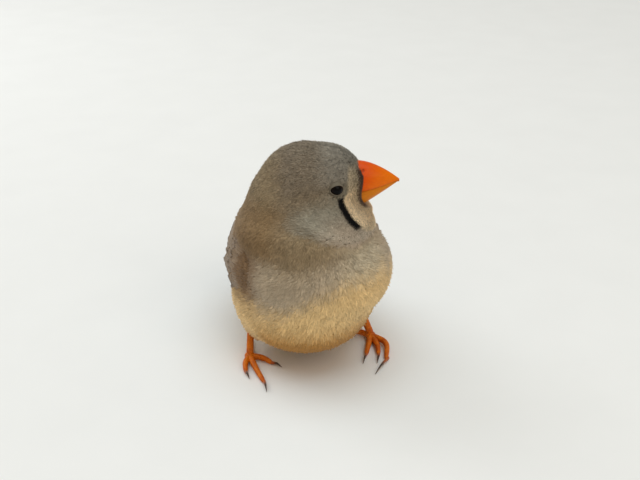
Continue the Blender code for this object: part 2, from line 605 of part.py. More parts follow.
def make_leg(side):
    """Thigh, shank with its sole, four toes and their claws on one side."""
    leg = LEGS[side]
    heel, sole = np.array(leg["heel"]), np.array(leg["sole"])
    knee = heel - (math.copysign(THIGH_IN, heel[0]), 0, THIGH_DOWN)
    thigh = ball_at(f"{side}_thigh", knee, THIGH_HALF, THIGH_GRID, "cream")
    combine(thigh, torso_body("clear", GAP), "DIFFERENCE")
    middle = heel + (sole - heel) * SHANK_BEND
    shank_path = smooth_path([heel, middle, sole + (0, 0, 0.5 * SOLE_UP)], SHANK_STEPS)
    shank = tube(f"{side}_shank", shank_path, SHANK_RADIUS, "foot")
    combine(shank, sole_pad("pad", sole), "UNION")
    combine(shank, ball_at("clear", knee, np.add(THIGH_HALF, GAP), THIGH_GRID), "DIFFERENCE")
    paths = []
    for toe_name, (knuckle, end, tip) in leg["toes"].items():
        path = smooth_path([sole, knuckle, end], TOE_STEPS)
        toe = tube(f"{side}_{toe_name}_toe", path, TOE_RADIUS, "foot")
        combine(toe, sole_pad("clear", sole, GAP), "DIFFERENCE")
        for neighbour in paths:
            combine(toe, tube("clear", neighbour, np.add(TOE_RADIUS, GAP)), "DIFFERENCE")
        paths.append(path)
        end, tip = np.array(end), np.array(tip)
        crest = 0.5 * (end + tip) + (0, 0, CLAW_CREST)
        claw_path = smooth_path([end - CLAW_ROOT * (tip - end), crest, tip], TOE_STEPS)
        claw = tube(f"{side}_{toe_name}_claw", claw_path, CLAW_RADIUS, "claw", CLAW_SIDES)
        combine(claw, tube("clear", path, np.add(TOE_RADIUS, GAP)), "DIFFERENCE")


def sole_pad(name, sole, swell=0.0):
    """The ball of the foot, flat on the floor."""
    pad = ball_at(name, sole, (SOLE_RADIUS + swell,) * 3, SOLE_GRID)
    for vertex in pad.data.vertices:
        vertex.co.z = max(vertex.co.z, -swell * MM)
    return pad


def make_trunk():
    """Torso and neck, each cut clear of what it carries."""
    torso = torso_body("torso", colour="cream")
    combine(torso, neck_body("clear", GAP), "DIFFERENCE")
    combine(torso, head_body("clear", GAP), "DIFFERENCE")
    neck = neck_body("neck", colour="grey")
    combine(neck, head_body("clear", GAP), "DIFFERENCE")


def stand_on_origin():
    """Slide the whole bird until the middle of its outer box stands over the origin."""
    things = [thing for thing in bpy.data.objects if thing.type == "MESH"]
    points = np.concatenate([[v.co for v in thing.data.vertices] for thing in things])
    middle = 0.5 * (points.min(0) + points.max(0))
    for thing in things:
        for vertex in thing.data.vertices:
            vertex.co.x -= middle[0]
            vertex.co.y -= middle[1]


def build():
    """Make the whole bird."""
    clear_scene()
    make_trunk()
    make_head()
    make_eyes()
    make_bill()
    make_wing(-1, "right_wing", WING_SEEDS["right"])
    make_wing(1, "left_wing", WING_SEEDS["left"])
    make_tail()
    for side in ("right", "left"):
        make_leg(side)
    stand_on_origin()


build()
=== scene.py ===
# %% [markdown]
# # A zebra finch and its feathers
#
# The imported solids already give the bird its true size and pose: a hen zebra finch, fluffed up and
# squatting, with her head turned to her left.  Here she gets what a solid cannot show: thousands of
# soft feathers, painted markings, glossy eyes and a waxy bill.
#
# The first step loads the solids as a fixed frame.  Everything else is placed by that frame, in
# metres, so nothing has to be fitted by eye afterwards.

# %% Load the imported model
import math

import bpy
import numpy as np
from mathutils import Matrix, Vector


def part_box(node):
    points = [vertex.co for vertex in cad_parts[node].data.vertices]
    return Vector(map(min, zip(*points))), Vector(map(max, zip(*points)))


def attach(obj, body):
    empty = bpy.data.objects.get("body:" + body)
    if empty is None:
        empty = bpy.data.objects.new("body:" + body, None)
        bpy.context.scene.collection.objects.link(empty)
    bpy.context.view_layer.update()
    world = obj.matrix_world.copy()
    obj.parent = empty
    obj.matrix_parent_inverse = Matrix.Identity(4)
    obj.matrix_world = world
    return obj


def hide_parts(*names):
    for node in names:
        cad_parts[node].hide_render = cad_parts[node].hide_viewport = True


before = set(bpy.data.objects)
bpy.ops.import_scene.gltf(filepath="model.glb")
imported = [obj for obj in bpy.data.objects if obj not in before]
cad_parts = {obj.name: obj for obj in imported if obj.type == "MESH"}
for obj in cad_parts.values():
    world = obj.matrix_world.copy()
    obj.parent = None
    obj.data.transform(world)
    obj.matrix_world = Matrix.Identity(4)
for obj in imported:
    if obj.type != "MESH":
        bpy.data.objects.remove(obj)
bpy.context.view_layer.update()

# %% [markdown]
# ## Small tools for shapes
#
# Directions, soft steps and a random field are needed all the time, so they come first.  The random
# field is a sum of sine waves in random directions.  It could be a noise texture, but a function of
# arrays can bend feathers as well as tint them, and a seed makes it the same on every run.

# %% Directions, steps and ripples
MM = 0.001


def unit(vectors):
    """Each vector divided by its own length."""
    vectors = np.asarray(vectors, float)
    return vectors / np.maximum(np.linalg.norm(vectors, axis=-1, keepdims=True), 1e-9)


def ease(values, low, high):
    """0 below low, 1 above high, and 3t^2 - 2t^3 of the part t in between."""
    t = np.clip((np.asarray(values, float) - low) / (high - low), 0.0, 1.0)
    return t * t * (3.0 - 2.0 * t)


def ripple(points, size, seed, waves=9):
    """A smooth random field of about -1 to 1: the mean of sines of p . k + phase, with |k| near 2 pi / size."""
    draw = np.random.default_rng(seed)
    pull = unit(draw.normal(size=(waves, 3))) * (2 * np.pi / size) * draw.uniform(0.6, 1.5, (waves, 1))
    return np.sin(points @ pull.T + draw.uniform(0, 2 * np.pi, waves)).sum(-1) * (1.6 / waves)


print("a ripple at three places:", np.round(ripple(np.eye(3) * 5, 4.0, 1), 2))

# %% [markdown]
# ## The sizes of the flesh
#
# A fluffed bird is a few rounded masses that run together: belly, breast, back, rump, collar, crown,
# nape, cheeks and face, and two thighs.  The solids were made from these same ellipsoids, so the skin
# can be worked out from them and will lie evenly inside the solids.  Sizes are in millimetres in the
# bird's own frame.  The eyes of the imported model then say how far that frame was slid, which is more
# certain than typing the numbers in.

# %% Masses of the body and head
HEAD_AT, HEAD_TURN = np.array((-0.7, 0.2, 43.4)), math.radians(73.0)
HEAD_FORWARD = np.array((math.sin(HEAD_TURN), -math.cos(HEAD_TURN), 0.0))
UP = np.array((0.0, 0.0, 1.0))
HEAD_AXES = np.array([HEAD_FORWARD, np.cross(UP, HEAD_FORWARD), UP])
RUMP_DROP = math.radians(-24.0)
RUMP_AXES = np.array([[1, 0, 0],
                      [0, math.cos(RUMP_DROP), -math.sin(RUMP_DROP)],
                      [0, math.sin(RUMP_DROP), math.cos(RUMP_DROP)]])


def in_head(points):
    """Points given forward, left and up of the head's middle, moved to the bird's frame."""
    return HEAD_AT + np.asarray(points, float) @ HEAD_AXES


def to_head(points):
    """Points of the bird's frame as forward, left and up of the head's middle."""
    return (np.asarray(points, float) - HEAD_AT) @ HEAD_AXES.T


TORSO = [((-1.8, 0.6, 17.0), (17.7, 19.4, 13.8), np.eye(3)),
         ((0.8, -4.5, 26.0), (18.0, 16.4, 14.6), np.eye(3)),
         ((0.0, 7.5, 28.0), (17.2, 19.5, 13.5), np.eye(3)),
         ((0.0, 17.0, 19.5), (13.0, 21.0, 10.5), RUMP_AXES)]
THIGHS = [((side * 12.6, 3.6, 9.5), (3.9, 5.8, 5.5), np.eye(3)) for side in (-1, 1)]
NECK = [((-1.2, 0.0, 35.2), (16.8, 17.6, 9.6), np.eye(3))]
HEAD = [(in_head(at), half, HEAD_AXES.T) for at, half in (
    ((0.0, 0.0, 1.0), (12.0, 10.4, 11.9)), ((-3.2, 0.0, -2.0), (11.0, 11.4, 10.6)),
    ((0.6, 0.0, -5.0), (11.6, 12.4, 8.6)), ((4.6, 0.0, 4.3), (8.4, 8.0, 8.3)))]

EYE_TOWARD, EYE_LOOK = (6.6, 7.8, 4.3), (0.35, 1.0, 0.12)
EYE_RADIUS, EYE_SUNK, LID_WIDE, LID_TALL = 1.95, 1.35, 1.66, 1.14


def exit_of(rays, start, ball):
    """Where rays leave an ellipsoid: the larger root of |start + t ray| = 1 in its own scale, or 0."""
    centre, half, turn = ball
    pull = (rays @ turn) / half
    back = ((start - np.asarray(centre)) @ turn) / half
    a, b, c = (pull ** 2).sum(-1), pull @ back, (back ** 2).sum() - 1.0
    inside = b * b - a * c
    return np.where(inside > 0, (-b + np.sqrt(np.maximum(inside, 0))) / a, 0.0)


def eye_seat(side):
    """Middle of one eyeball, and the way it looks; side is -1 on the bird's right and 1 on its left."""
    toward = unit(np.multiply(EYE_TOWARD, (1, side, 1)) @ HEAD_AXES)
    far = np.array([exit_of(toward[None], HEAD_AT, ball) for ball in HEAD])
    surface = HEAD_AT + toward * (far ** 14).sum(0) ** (1 / 14)
    look = unit(np.multiply(EYE_LOOK, (1, side, 1)) @ HEAD_AXES)
    return surface - EYE_SUNK * look, look


EYES = {"right": eye_seat(-1), "left": eye_seat(1)}
SLIDE = np.mean([0.5 * (np.array(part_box(f"{side}_eye")[0]) + np.array(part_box(f"{side}_eye")[1])) / MM - seat[0]
                 for side, seat in EYES.items()], axis=0)
print("the bird's frame is slid by", np.round(SLIDE, 3), "mm")

# %% [markdown]
# ## One skin over all the flesh
#
# Neck, head, thighs and trunk must not show a seam, so one surface covers them.  It could be a voxel
# remesh of the solids, but a formula stays smooth and can be asked for its shape anywhere.  The soft
# smallest distance to all the ellipsoids is that formula, and each pair runs together with a softness
# of its own.  From one point deep in the chest, each ray meets the surface once, so angles on a globe
# number every place of the skin.
#
# Two small forms are laid on it.  The cheeks hang over the collar with a soft crease.  And the face
# feathers grow a little way over the base of the bill, so the skin rises there in a low rim.

# %% The shape of the coat's outside
START = np.array((-0.6, 2.0, 31.0))
TRUNK_BLEND, HEAD_BLEND, THIGH_BLEND, NAPE_BLEND, COLLAR_BLEND = 2.4, 1.0, 3.4, 3.4, 2.6
TRUNK_EASE = 0.25                                   # taken off the trunk, as a soft union swells it
FOLD_AT, FOLD_DEEP, FOLD_LIP, FOLD_WIDE = (36.2, 40.2), 0.6, 0.55, 0.85
COLLAR_AT, COLLAR_DIP, DIP_AT, DIP_WIDE = 35.2, 2.2, -27.0, 13.0
BILL_MIDDLE_UP, BILL_ROUND = 2.9, (3.75, 5.3)
RIM_HIGH, RIM_AT, RIM_WIDE = 1.6, 1.12, 0.24
DISH_DEEP, DISH_WIDE = 0.15, 0.5


def ball_distance(points, ball):
    """About how far points lie outside an ellipsoid: n (n - 1) / |gradient|, n being 1 on its surface."""
    centre, half, turn = ball
    scaled = ((points - np.asarray(centre)) @ turn) / half
    size = np.linalg.norm(scaled, axis=-1)
    return size * (size - 1.0) / np.maximum(np.linalg.norm(scaled / half, axis=-1), 1e-6)


def merged(distances, blend):
    """The soft minimum: the smaller of two, less blend / 4 times h^2, where h is 1 - |difference| / blend."""
    whole = distances[0]
    for distance in distances[1:]:
        close = np.maximum(1.0 - np.abs(whole - distance) / blend, 0.0)
        whole = np.minimum(whole, distance) - 0.25 * blend * close * close
    return whole


def outside(points):
    """Distance to the skin of the whole body, below 0 inside."""
    trunk = merged([ball_distance(points, ball) for ball in TORSO], TRUNK_BLEND) + TRUNK_EASE
    trunk = merged([trunk, *(ball_distance(points, ball) for ball in THIGHS)], THIGH_BLEND)
    head = merged([ball_distance(points, ball) for ball in HEAD], HEAD_BLEND)
    return merged([merged([head, ball_distance(points, NECK[0])], NAPE_BLEND), trunk], COLLAR_BLEND)


def slope(points, step=0.05):
    """The outward direction of the surface: the distance's change along x, y and z."""
    return unit(np.stack([outside(points + step * axis) - outside(points - step * axis) for axis in np.eye(3)], -1))


def head_turn(place):
    """Degrees round the head from the bill, for places given forward, left and up."""
    return np.abs(np.degrees(np.arctan2(place[..., 1], place[..., 0])))


def above_fold(points):
    """Height over the crease under the cheeks, which rises from the throat toward the nape."""
    return points[..., 2] - FOLD_AT[0] - (FOLD_AT[1] - FOLD_AT[0]) * ease(head_turn(to_head(points)), 45.0, 100.0)


def trunk_turn(points):
    """Degrees round the trunk from the breast, more toward the bird's left."""
    return np.degrees(np.arctan2(points[..., 0], -points[..., 1]))


def above_collar(points):
    """Height over the collar's lower edge, which dips in a bell on the right of the breast."""
    return points[..., 2] - COLLAR_AT + COLLAR_DIP * np.exp(-((trunk_turn(points) - DIP_AT) / DIP_WIDE) ** 2)


def groove(above, deep, lip):
    """A bell-shaped groove with a bell-shaped lip over it, by the height over its line."""
    return lip * np.exp(-((above / FOLD_WIDE - 2.0) / 1.3) ** 2) - deep * np.exp(-(above / FOLD_WIDE) ** 2)


def creases(points):
    """The crease under the cheek, fading out behind the ear, and the shallower one under the collar."""
    turn, around = head_turn(to_head(points)), trunk_turn(points)
    cheek = (1.0 - ease(turn, 88.0, 112.0)) * (0.45 + 0.55 * ease(turn, 20.0, 50.0))
    collar = ease(around, -80.0, -50.0) * (1.0 - ease(around, 20.0, 50.0))
    return cheek * groove(above_fold(points), FOLD_DEEP, FOLD_LIP) + collar * groove(above_collar(points), 0.12, 0.2)


def bill_ring(place):
    """1 on the edge of the bill's base and more outside it, for places forward, left and up."""
    round_ = np.hypot(place[..., 1] / BILL_ROUND[0], (place[..., 2] - BILL_MIDDLE_UP) / BILL_ROUND[1])
    return np.where(place[..., 0] > 6.0, round_, 9.0)


def bill_rim(points):
    """How far the face reaches forward over the bill's base: a bell of the ring's distance from its crest."""
    place = to_head(points)
    bell = np.exp(-((bill_ring(place) - RIM_AT) / RIM_WIDE) ** 2)
    return RIM_HIGH * bell * (1.0 - 0.7 * ease(place[..., 2], 5.5, 8.5)) * ease(place[..., 2], -7.0, -4.0)


def eye_nearness(points):
    """How near a place is to either eye: 1 on the lids' outer edge, less outside them."""
    nearest = np.full(points.shape[:-1], 9.0)
    for middle, look in EYES.values():
        across = unit(np.cross(look, UP))
        over = np.cross(across, look)
        offset = points - middle
        round_ = np.hypot(offset @ across / (LID_WIDE + 0.15), offset @ over / (LID_TALL + 0.15))
        nearest = np.where(offset @ look > 0, np.minimum(nearest, round_), nearest)
    return nearest


def surface(polar, azimuth):
    """The coat's outside at globe angles: the soft union, with its creases, the bill's rim and a dish at each eye."""
    rays = np.stack([np.sin(polar) * np.cos(azimuth), np.sin(polar) * np.sin(azimuth), np.cos(polar)], -1)
    flat = rays.reshape(-1, 3)
    near = np.max([exit_of(flat, START, ball) for ball in TORSO + THIGHS + NECK + HEAD], axis=0) - 1.0
    far = near + 6.0
    for _ in range(14):
        middle = 0.5 * (near + far)
        inside = outside(START + flat * middle[:, None]) < 0
        near, far = np.where(inside, middle, near), np.where(inside, far, middle)
    points = START + flat * near[:, None]
    normals = slope(points)
    dish = DISH_DEEP * np.exp(-(np.maximum(eye_nearness(points) - 1.0, 0.0) / DISH_WIDE) ** 2)
    points = points + normals * (creases(points) - dish)[:, None] + HEAD_FORWARD * bill_rim(points)[:, None]
    return points.reshape(rays.shape), normals.reshape(rays.shape)


ROWS, COLUMNS = 236, 340
polar_steps = np.pi * (np.arange(ROWS) + 0.5) / ROWS
azimuth_steps = 2 * np.pi * np.arange(COLUMNS) / COLUMNS
grid_points, grid_normals = surface(*np.meshgrid(polar_steps, azimuth_steps, indexing="ij"))
print("surface grid", grid_points.shape, "from", np.round(grid_points.min((0, 1)), 1),
      "to", np.round(grid_points.max((0, 1)), 1))

# %% [markdown]
# ## Where head, collar and trunk begin
#
# Feather length, depth and direction all change from the face to the rump.  The head's plumage ends
# at the cheek's crease, and the collar gives way to the trunk where their two masses meet, each with
# a soft change, so no line shows where one kind of feather takes over from the next.

# %% Regions, depth and length of the coat


def shares(points):
    """How much a place belongs to head, collar and trunk: a soft step at the fold, a logistic of the distances below."""
    head = ease(above_fold(points), -0.8, 0.8)
    trunk = np.min([ball_distance(points, ball) for ball in TORSO + THIGHS], axis=0)
    part = 1.0 / (1.0 + np.exp((trunk - ball_distance(points, NECK[0])) / 1.2))
    return np.array([head, (1.0 - head) * (1.0 - part), (1.0 - head) * part])


def face_share(points):
    """1 at the bill's base and 0 behind the eye."""
    return ease(to_head(points)[..., 0], 3.5, 10.0) * ease(to_head(points)[..., 2], -13.0, -8.0)


def coat_depth(points):
    """How far the skin lies under the coat's outside, in millimetres."""
    head, neck, trunk = shares(points)
    crease = np.exp(-(above_fold(points) / 1.2) ** 2)
    lids = ease(-eye_nearness(points), -1.7, -1.05)
    thin = (1.0 - 0.4 * crease) * (1.0 - 0.7 * lids)
    return (head * (0.75 - 0.4 * face_share(points)) + neck * 1.0 + trunk * 1.1) * thin


def coat_length(points):
    """How long a feather's showing part is: shortest at the bill, longest on the belly and flanks."""
    head, neck, trunk = shares(points)
    place = to_head(points)
    face = face_share(points)
    ahead = ease(place[..., 0], -6.0, 11.0)
    return head * (2.0 - 0.8 * ahead - 0.45 * face) + neck * 2.4 + trunk * (2.9 - 0.4 * ease(points[..., 2], 20, 34))


print("depth and length at the collar:", coat_depth(np.array([[-1.0, -17.0, 35.0]])).round(2),
      coat_length(np.array([[-1.0, -17.0, 35.0]])).round(2))

# %% [markdown]
# ## Putting arrays into a mesh
#
# Blender can take a whole array of points and faces in one call.  Each piece also carries three facts
# for its paint: where its root is on the bird, where that is on the head, and a tone, how light or dark
# this one feather is, with painted shade toward its root and on the skin between feathers.  Paint that
# reads the root gives each feather one colour, as on a real bird, so the edge of a marking comes out
# ragged instead of cut with a knife.

# %% Mesh from arrays


def put_values(mesh, name, kind, values):
    """Store one value or vector for each point of a mesh."""
    made = mesh.attributes.new(name, kind, "POINT")
    made.data.foreach_set("value" if kind == "FLOAT" else "vector", np.asarray(values, np.float32).ravel())


def make_piece(name, points, faces, material, uvs=None, facts=None, normals=None):
    """A smooth mesh object from points in millimetres and faces of three or four corners, riding on the bird."""
    faces = [np.asarray(group, np.int32) for group in (faces if isinstance(faces, list) else [faces])]
    corners = np.concatenate([group.ravel() for group in faces])
    sizes = np.concatenate([np.full(len(group), group.shape[1], np.int32) for group in faces])
    mesh = bpy.data.meshes.new(name)
    mesh.vertices.add(len(points))
    mesh.vertices.foreach_set("co", ((np.asarray(points) + SLIDE) * MM).astype(np.float32).ravel())
    mesh.loops.add(len(corners))
    mesh.loops.foreach_set("vertex_index", corners)
    mesh.polygons.add(len(sizes))
    mesh.polygons.foreach_set("loop_start", np.concatenate([[0], np.cumsum(sizes)[:-1]]).astype(np.int32))
    mesh.polygons.foreach_set("use_smooth", np.ones(len(sizes), bool))
    mesh.update(calc_edges=True)
    for map_name, values in (uvs or {}).items():
        values = values if len(values) == len(corners) else values[corners]
        mesh.uv_layers.new(name=map_name).data.foreach_set("uv", np.asarray(values, np.float32).ravel())
    for fact, values in (facts or {}).items():
        put_values(mesh, fact, "FLOAT" if np.ndim(values) == 1 else "FLOAT_VECTOR", values)
    mesh.materials.append(material)
    mesh.validate()
    if normals is not None:
        mesh.normals_split_custom_set_from_vertices(normals.astype(np.float32).tolist())
    thing = bpy.data.objects.new(name, mesh)
    bpy.context.scene.collection.objects.link(thing)
    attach(thing, "root")
    print(f"{name}: {int((sizes - 2).sum())} triangles")
    return thing


# %% [markdown]
# ## Shader maths as plain sums
#
# Markings are sums of soft steps.  Wiring dozens of Math nodes by hand hides the idea, so one small
# class wraps an output socket and lets `+`, `-`, `*` and `/` add the nodes.

# %% A socket that can be added and multiplied


class Wire:
    """One output socket of a material; arithmetic on it adds Math nodes."""

    def __init__(self, tree, socket=None):
        self.tree, self.socket = tree, socket

    def node(self, kind, settings=None, inputs=None, output=0):
        """Any node: its settings first, then the value or the link of each input, by name or number."""
        made = self.tree.nodes.new(kind)
        for key, value in (settings or {}).items():
            setattr(made, key, value)
        for key, value in (inputs or {}).items():
            if isinstance(value, Wire):
                self.tree.links.new(value.socket, made.inputs[key])
            else:
                made.inputs[key].default_value = value
        return Wire(self.tree, made.outputs[output])

    def maths(self, operation, *values):
        """A Math node of one operation."""
        return self.node("ShaderNodeMath", {"operation": operation}, dict(enumerate(values)))

    def __add__(self, other):
        return self.maths("ADD", self, other)

    __radd__ = __add__

    def __sub__(self, other):
        return self.maths("SUBTRACT", self, other)

    def __rsub__(self, other):
        return self.maths("SUBTRACT", other, self)

    def __mul__(self, other):
        return self.maths("MULTIPLY", self, other)

    __rmul__ = __mul__

    def __truediv__(self, other):
        return self.maths("DIVIDE", self, other)

    def __pow__(self, other):
        return self.maths("POWER", self, other)

    def __abs__(self):
        return self.maths("ABSOLUTE", self)

    def least(self, other):
        """The smaller of two values."""
        return self.maths("MINIMUM", self, other)

    def most(self, other):
        """The larger of two values."""
        return self.maths("MAXIMUM", self, other)

    def ease(self, low, high):
        """0 at low and 1 at high with a soft start and end; low may be the larger."""
        inputs = {"Value": self, "From Min": low, "From Max": high}
        return self.node("ShaderNodeMapRange", {"interpolation_type": "SMOOTHSTEP"}, inputs)

    def parts(self):
        """The x, y and z of a vector."""
        made = self.tree.nodes.new("ShaderNodeSeparateXYZ")
        self.tree.links.new(self.socket, made.inputs[0])
        return [Wire(self.tree, output) for output in made.outputs]

    def to(self, colour, amount):
        """This colour mixed toward another by an amount of 0 to 1."""
        colour = colour if isinstance(colour, Wire) else (*colour, 1.0)
        return self.node("ShaderNodeMix", {"data_type": "RGBA"}, {0: amount, 6: self, 7: colour}, 2)

    def shaded(self, amount):
        """This colour with all its parts multiplied by one value."""
        return self.node("ShaderNodeVectorMath", {"operation": "SCALE"}, {0: self, "Scale": amount})

    def noise(self, size, detail=2.0, rough=0.5):
        """A noise of about 0 to 1 whose lumps measure about the size, in this vector's own unit."""
        inputs = {"Vector": self, "Scale": 1.0 / size, "Detail": detail, "Roughness": rough}
        return self.node("ShaderNodeTexNoise", None, inputs)


def linear(red, green, blue):
    """A colour picked on a screen, 0 to 255, as the linear values that shaders use."""
    part = np.array((red, green, blue)) / 255.0
    return tuple(np.where(part <= 0.04045, part / 12.92, ((part + 0.055) / 1.055) ** 2.4).tolist())


def new_material(name, slot_rough=0.6, **constants):
    """A material whose Principled shader has its constant values set; returns it with a first wire and the shader."""
    material = bpy.data.materials.new(name)
    material.use_nodes = True
    shader = material.node_tree.nodes["Principled BSDF"]
    shader.inputs["Roughness"].default_value = slot_rough
    for key, value in constants.items():
        shader.inputs[key.replace("_", " ")].default_value = value
    return material, Wire(material.node_tree), shader


def attribute(wire, name, output):
    """A fact stored on the mesh."""
    return wire.node("ShaderNodeAttribute", {"attribute_name": name}, None, output)


def feed(wire, shader, key):
    """Link a wire to one input of the shader."""
    wire.tree.links.new(wire.socket, shader.inputs[key])


print("cream in linear light:", np.round(linear(181, 152, 103), 3))

# %% [markdown]
# ## The plumage: one paint for skin and feathers
#
# A hen zebra finch is brown-grey above, grey on head and breast, and cream below.  Her one sharp mark
# is the black tear under the eye, with a pale band between it and the bill and a thin dark line along
# the bill's base.  Skin and feathers share this one material, so a thin place in the coat never shows.
#
# Each marking is a soft step of the root's place: in the bird's frame for the body, and forward, left
# and up of the head's middle for the face.  A few of these steps are painted light and shade: a lit
# side of the breast, a lit lip on the cheek's crease, shade under that crease and low on the belly.

# %% Colours and markings of the plumage, with some painted light and shade
CROWN, FOREHEAD, EAR = linear(130, 118, 101), linear(145, 138, 125), linear(136, 122, 101)
CHEEK, CHEEK_LIGHT, CHEEK_LIP_HIGHLIGHT = linear(151, 144, 127), linear(186, 169, 148), linear(194, 183, 165)
NAPE, SHOULDER = linear(149, 132, 104), linear(138, 112, 78)
MANTLE, BACK, COLLAR_AND_CREASE_SHADE = linear(121, 94, 63), linear(142, 120, 92), linear(145, 127, 99)
BREAST, BREAST_LIT_SIDE, VENT = linear(178, 163, 140), linear(190, 179, 155), linear(222, 205, 172)
CREAM, LOW_BELLY_WARM_SHADE, WHITE = linear(226, 194, 139), linear(178, 128, 60), linear(226, 221, 210)
LORE, LORE_TOP, CHIN = linear(252, 226, 186), linear(198, 181, 152), linear(226, 205, 170)
TEAR, BASE_LINE = linear(12, 11, 11), linear(72, 42, 34)
TEAR_AHEAD, TEAR_BEND, TEAR_HALF = 8.2, 0.094, 0.62     # the tear's line: ahead = 8.2 + 0.094 u^2, u mm under its top


def flat_colour(wire, colour):
    """One plain colour to start a mix from."""
    made = wire.node("ShaderNodeRGB")
    made.socket.default_value = (*colour, 1.0)
    return made


def body_colour(wire, place, wander):
    """Grey breast, brown back, cream belly and white rump, by height and by the turn round the trunk; painted light on
    the breast's left front, painted shade in the collar and low on the belly.
    """
    x, y, z = place.parts()
    turn = wire.maths("ARCTAN2", x, 0 - y) * (180 / math.pi) + wander * 12
    level = 19.5 + 9.7 * turn.ease(-48, 14) - 2 * turn.ease(36, 62) - 6 * turn.ease(66, 114) - 4 * abs(turn).ease(96, 140)
    below = (z - level + wander * 3).ease(4.6, -3.0)
    behind = (y + wander * 6 - 6 * turn.ease(0, 60)).ease(-8, 5).most((turn + 62).ease(15, -12))
    dip = wire.maths("EXPONENT", ((turn - DIP_AT) / DIP_WIDE) ** 2 * -1) * COLLAR_DIP
    # The breast is painted paler on her left front, the side the light falls on: painted light.
    colour = flat_colour(wire, BREAST).to(BREAST_LIT_SIDE, turn.ease(-10, 28) * turn.ease(60, 22))
    # The collar's brown is partly the bird's own colour and partly painted shade under the cheek's crease; it reaches
    # lower on her right.
    colour = colour.to(COLLAR_AND_CREASE_SHADE, (z + dip + wander * 4 - 1.3 * turn.ease(-8, 20) - COLLAR_AT).ease(-4.4, 3.0))
    colour = colour.to(MANTLE, behind).to(BACK, behind * (y + wander * 8).ease(0, 12))
    # The low front of the belly turns dark warm brown: painted shade, warmed by painted light thrown up from below.
    colour = colour.to(CREAM, below).to(LOW_BELLY_WARM_SHADE, below * z.ease(19.5, 11.5) * (y + abs(x) * 0.5).ease(2, -6))
    colour = colour.to(VENT, below * y.ease(8, 22))
    return colour.to(WHITE, (y + wander * 3).ease(25, 30) * (1 - below))


def head_colour(wire, ahead, left, up, above, wander):
    """Brown-grey head, greyer in front, with the pale lore and chin, the tear, the bill's dark edge and a painted
    highlight on the lip of the cheek's crease.
    """
    low = (up - ahead * 0.35 + wander * 3).ease(3.8, -1.4)
    grey = flat_colour(wire, EAR).to(CHEEK, low * (ahead + wander * 4).ease(-7, 3))
    grey = grey.to(CHEEK_LIGHT, (ahead + wander * 4).ease(1, 9) * (up + wander * 3 + ahead * 0.2).ease(2.5, -3.5))
    grey = grey.to(CROWN, (up - ahead * 0.1 + wander * 3).ease(3.0, 7.0))
    grey = grey.to(FOREHEAD, ahead.ease(1, 7) * up.ease(4, 7))
    grey = grey.to(NAPE, (ahead + wander * 4).ease(-3, -10))
    # A pale band just above the cheek's crease, toward the front, is painted highlight on the crease's lip.
    grey = grey.to(CHEEK_LIP_HIGHLIGHT, above.ease(0.1, 0.8) * above.ease(3.0, 1.3) * (ahead + wander * 3).ease(0, 5) * 0.6)
    under = (2.4 - up).most(0.0)
    before = ahead - (under * under * TEAR_BEND + TEAR_AHEAD)
    pale = (before - 1.2 * up.ease(1.5, 3.5)).ease(0.15, 0.9) * up.ease(9.6, 7.2)
    grey = grey.to(CHIN, pale * up.ease(-2.5, -5.0))
    pale = pale * (up + wander * 2).ease(-5.8, -4.0)
    grey = grey.to(LORE_TOP, pale)
    grey = grey.to(LORE, pale * up.ease(5.5, 1.5))
    tear = (abs(before) - TEAR_HALF).ease(0.3, -0.16) * up.ease(-4.7, -4.0) * up.ease(2.7, 2.1) * abs(left).ease(1.5, 3.5)
    grey = grey.to(TEAR, tear)
    ring = wire.maths("SQRT", (left / BILL_ROUND[0]) ** 2 + ((up - BILL_MIDDLE_UP) / BILL_ROUND[1]) ** 2)
    base = ring.ease(1.34, 1.2) * ahead.ease(8.5, 9.5) * up.ease(8.8, 7.0) * up.ease(-2.8, -1.4) * left.ease(1.5, 0)
    return grey.to(BASE_LINE, base * 0.88)


def plumage_colour(wire):
    """Body and head colour, joined at the cheek's crease in front and slowly down the nape behind."""
    place = attribute(wire, "place", "Vector")
    ahead, left, up = attribute(wire, "head_place", "Vector").parts()
    wander = place.noise(3.2, 2.0) - 0.5
    turn = abs(wire.maths("ARCTAN2", left, ahead)) * (180 / math.pi)
    above = up + float(HEAD_AT[2] - FOLD_AT[0]) - turn.ease(45, 100) * (FOLD_AT[1] - FOLD_AT[0])
    soft = turn.ease(90, 150)
    head = (above + wander * 1.5).ease(-0.5, 0.6) * (1 - soft) + (above + wander * 3).ease(-8, 3) * soft
    colour = body_colour(wire, place, wander).to(head_colour(wire, ahead, left, up, above, wander), head)
    x, y, z = place.parts()
    trunk_turn = wire.maths("ARCTAN2", x, 0 - y) * (180 / math.pi) + wander * 12
    shoulder = trunk_turn.ease(-28, -56) * trunk_turn.ease(-130, -100) * z.ease(47.5, 42) * z.ease(31, 36)
    return colour.to(SHOULDER, shoulder * 0.75)


def plumage(name, tint):
    """The plumage material: markings, then mottling, dark flecks on the head, each feather's own tone with painted
    shade toward its root, and a tint, below 1 as painted shade on the skin.
    """
    material, wire, shader = new_material(name, 0.8, Sheen_Weight=0.1, Sheen_Roughness=0.5)
    shader.inputs["Specular IOR Level"].default_value = 0.12
    place = attribute(wire, "place", "Vector")
    up = attribute(wire, "head_place", "Vector").parts()[2]
    mottle = place.noise(0.7, 2.0, 0.6) * 0.7 + place.noise(1.9, 2.0) * 0.4 + 0.45
    flecks = place.noise(0.75, 1.0).ease(0.56, 0.68) * up.ease(-3, 2) * 0.3
    tone = attribute(wire, "tone", "Fac")
    feed(plumage_colour(wire).shaded(mottle * (1 - flecks) * tone * tint), shader, "Base Color")
    return material


coat_paint = plumage("feather_coat", 1.0)
# The skin is the same paint darkened to 0.75: painted shade in the gaps between feathers.
shaded_skin_paint = plumage("shaded_skin_under_feathers", 0.75)

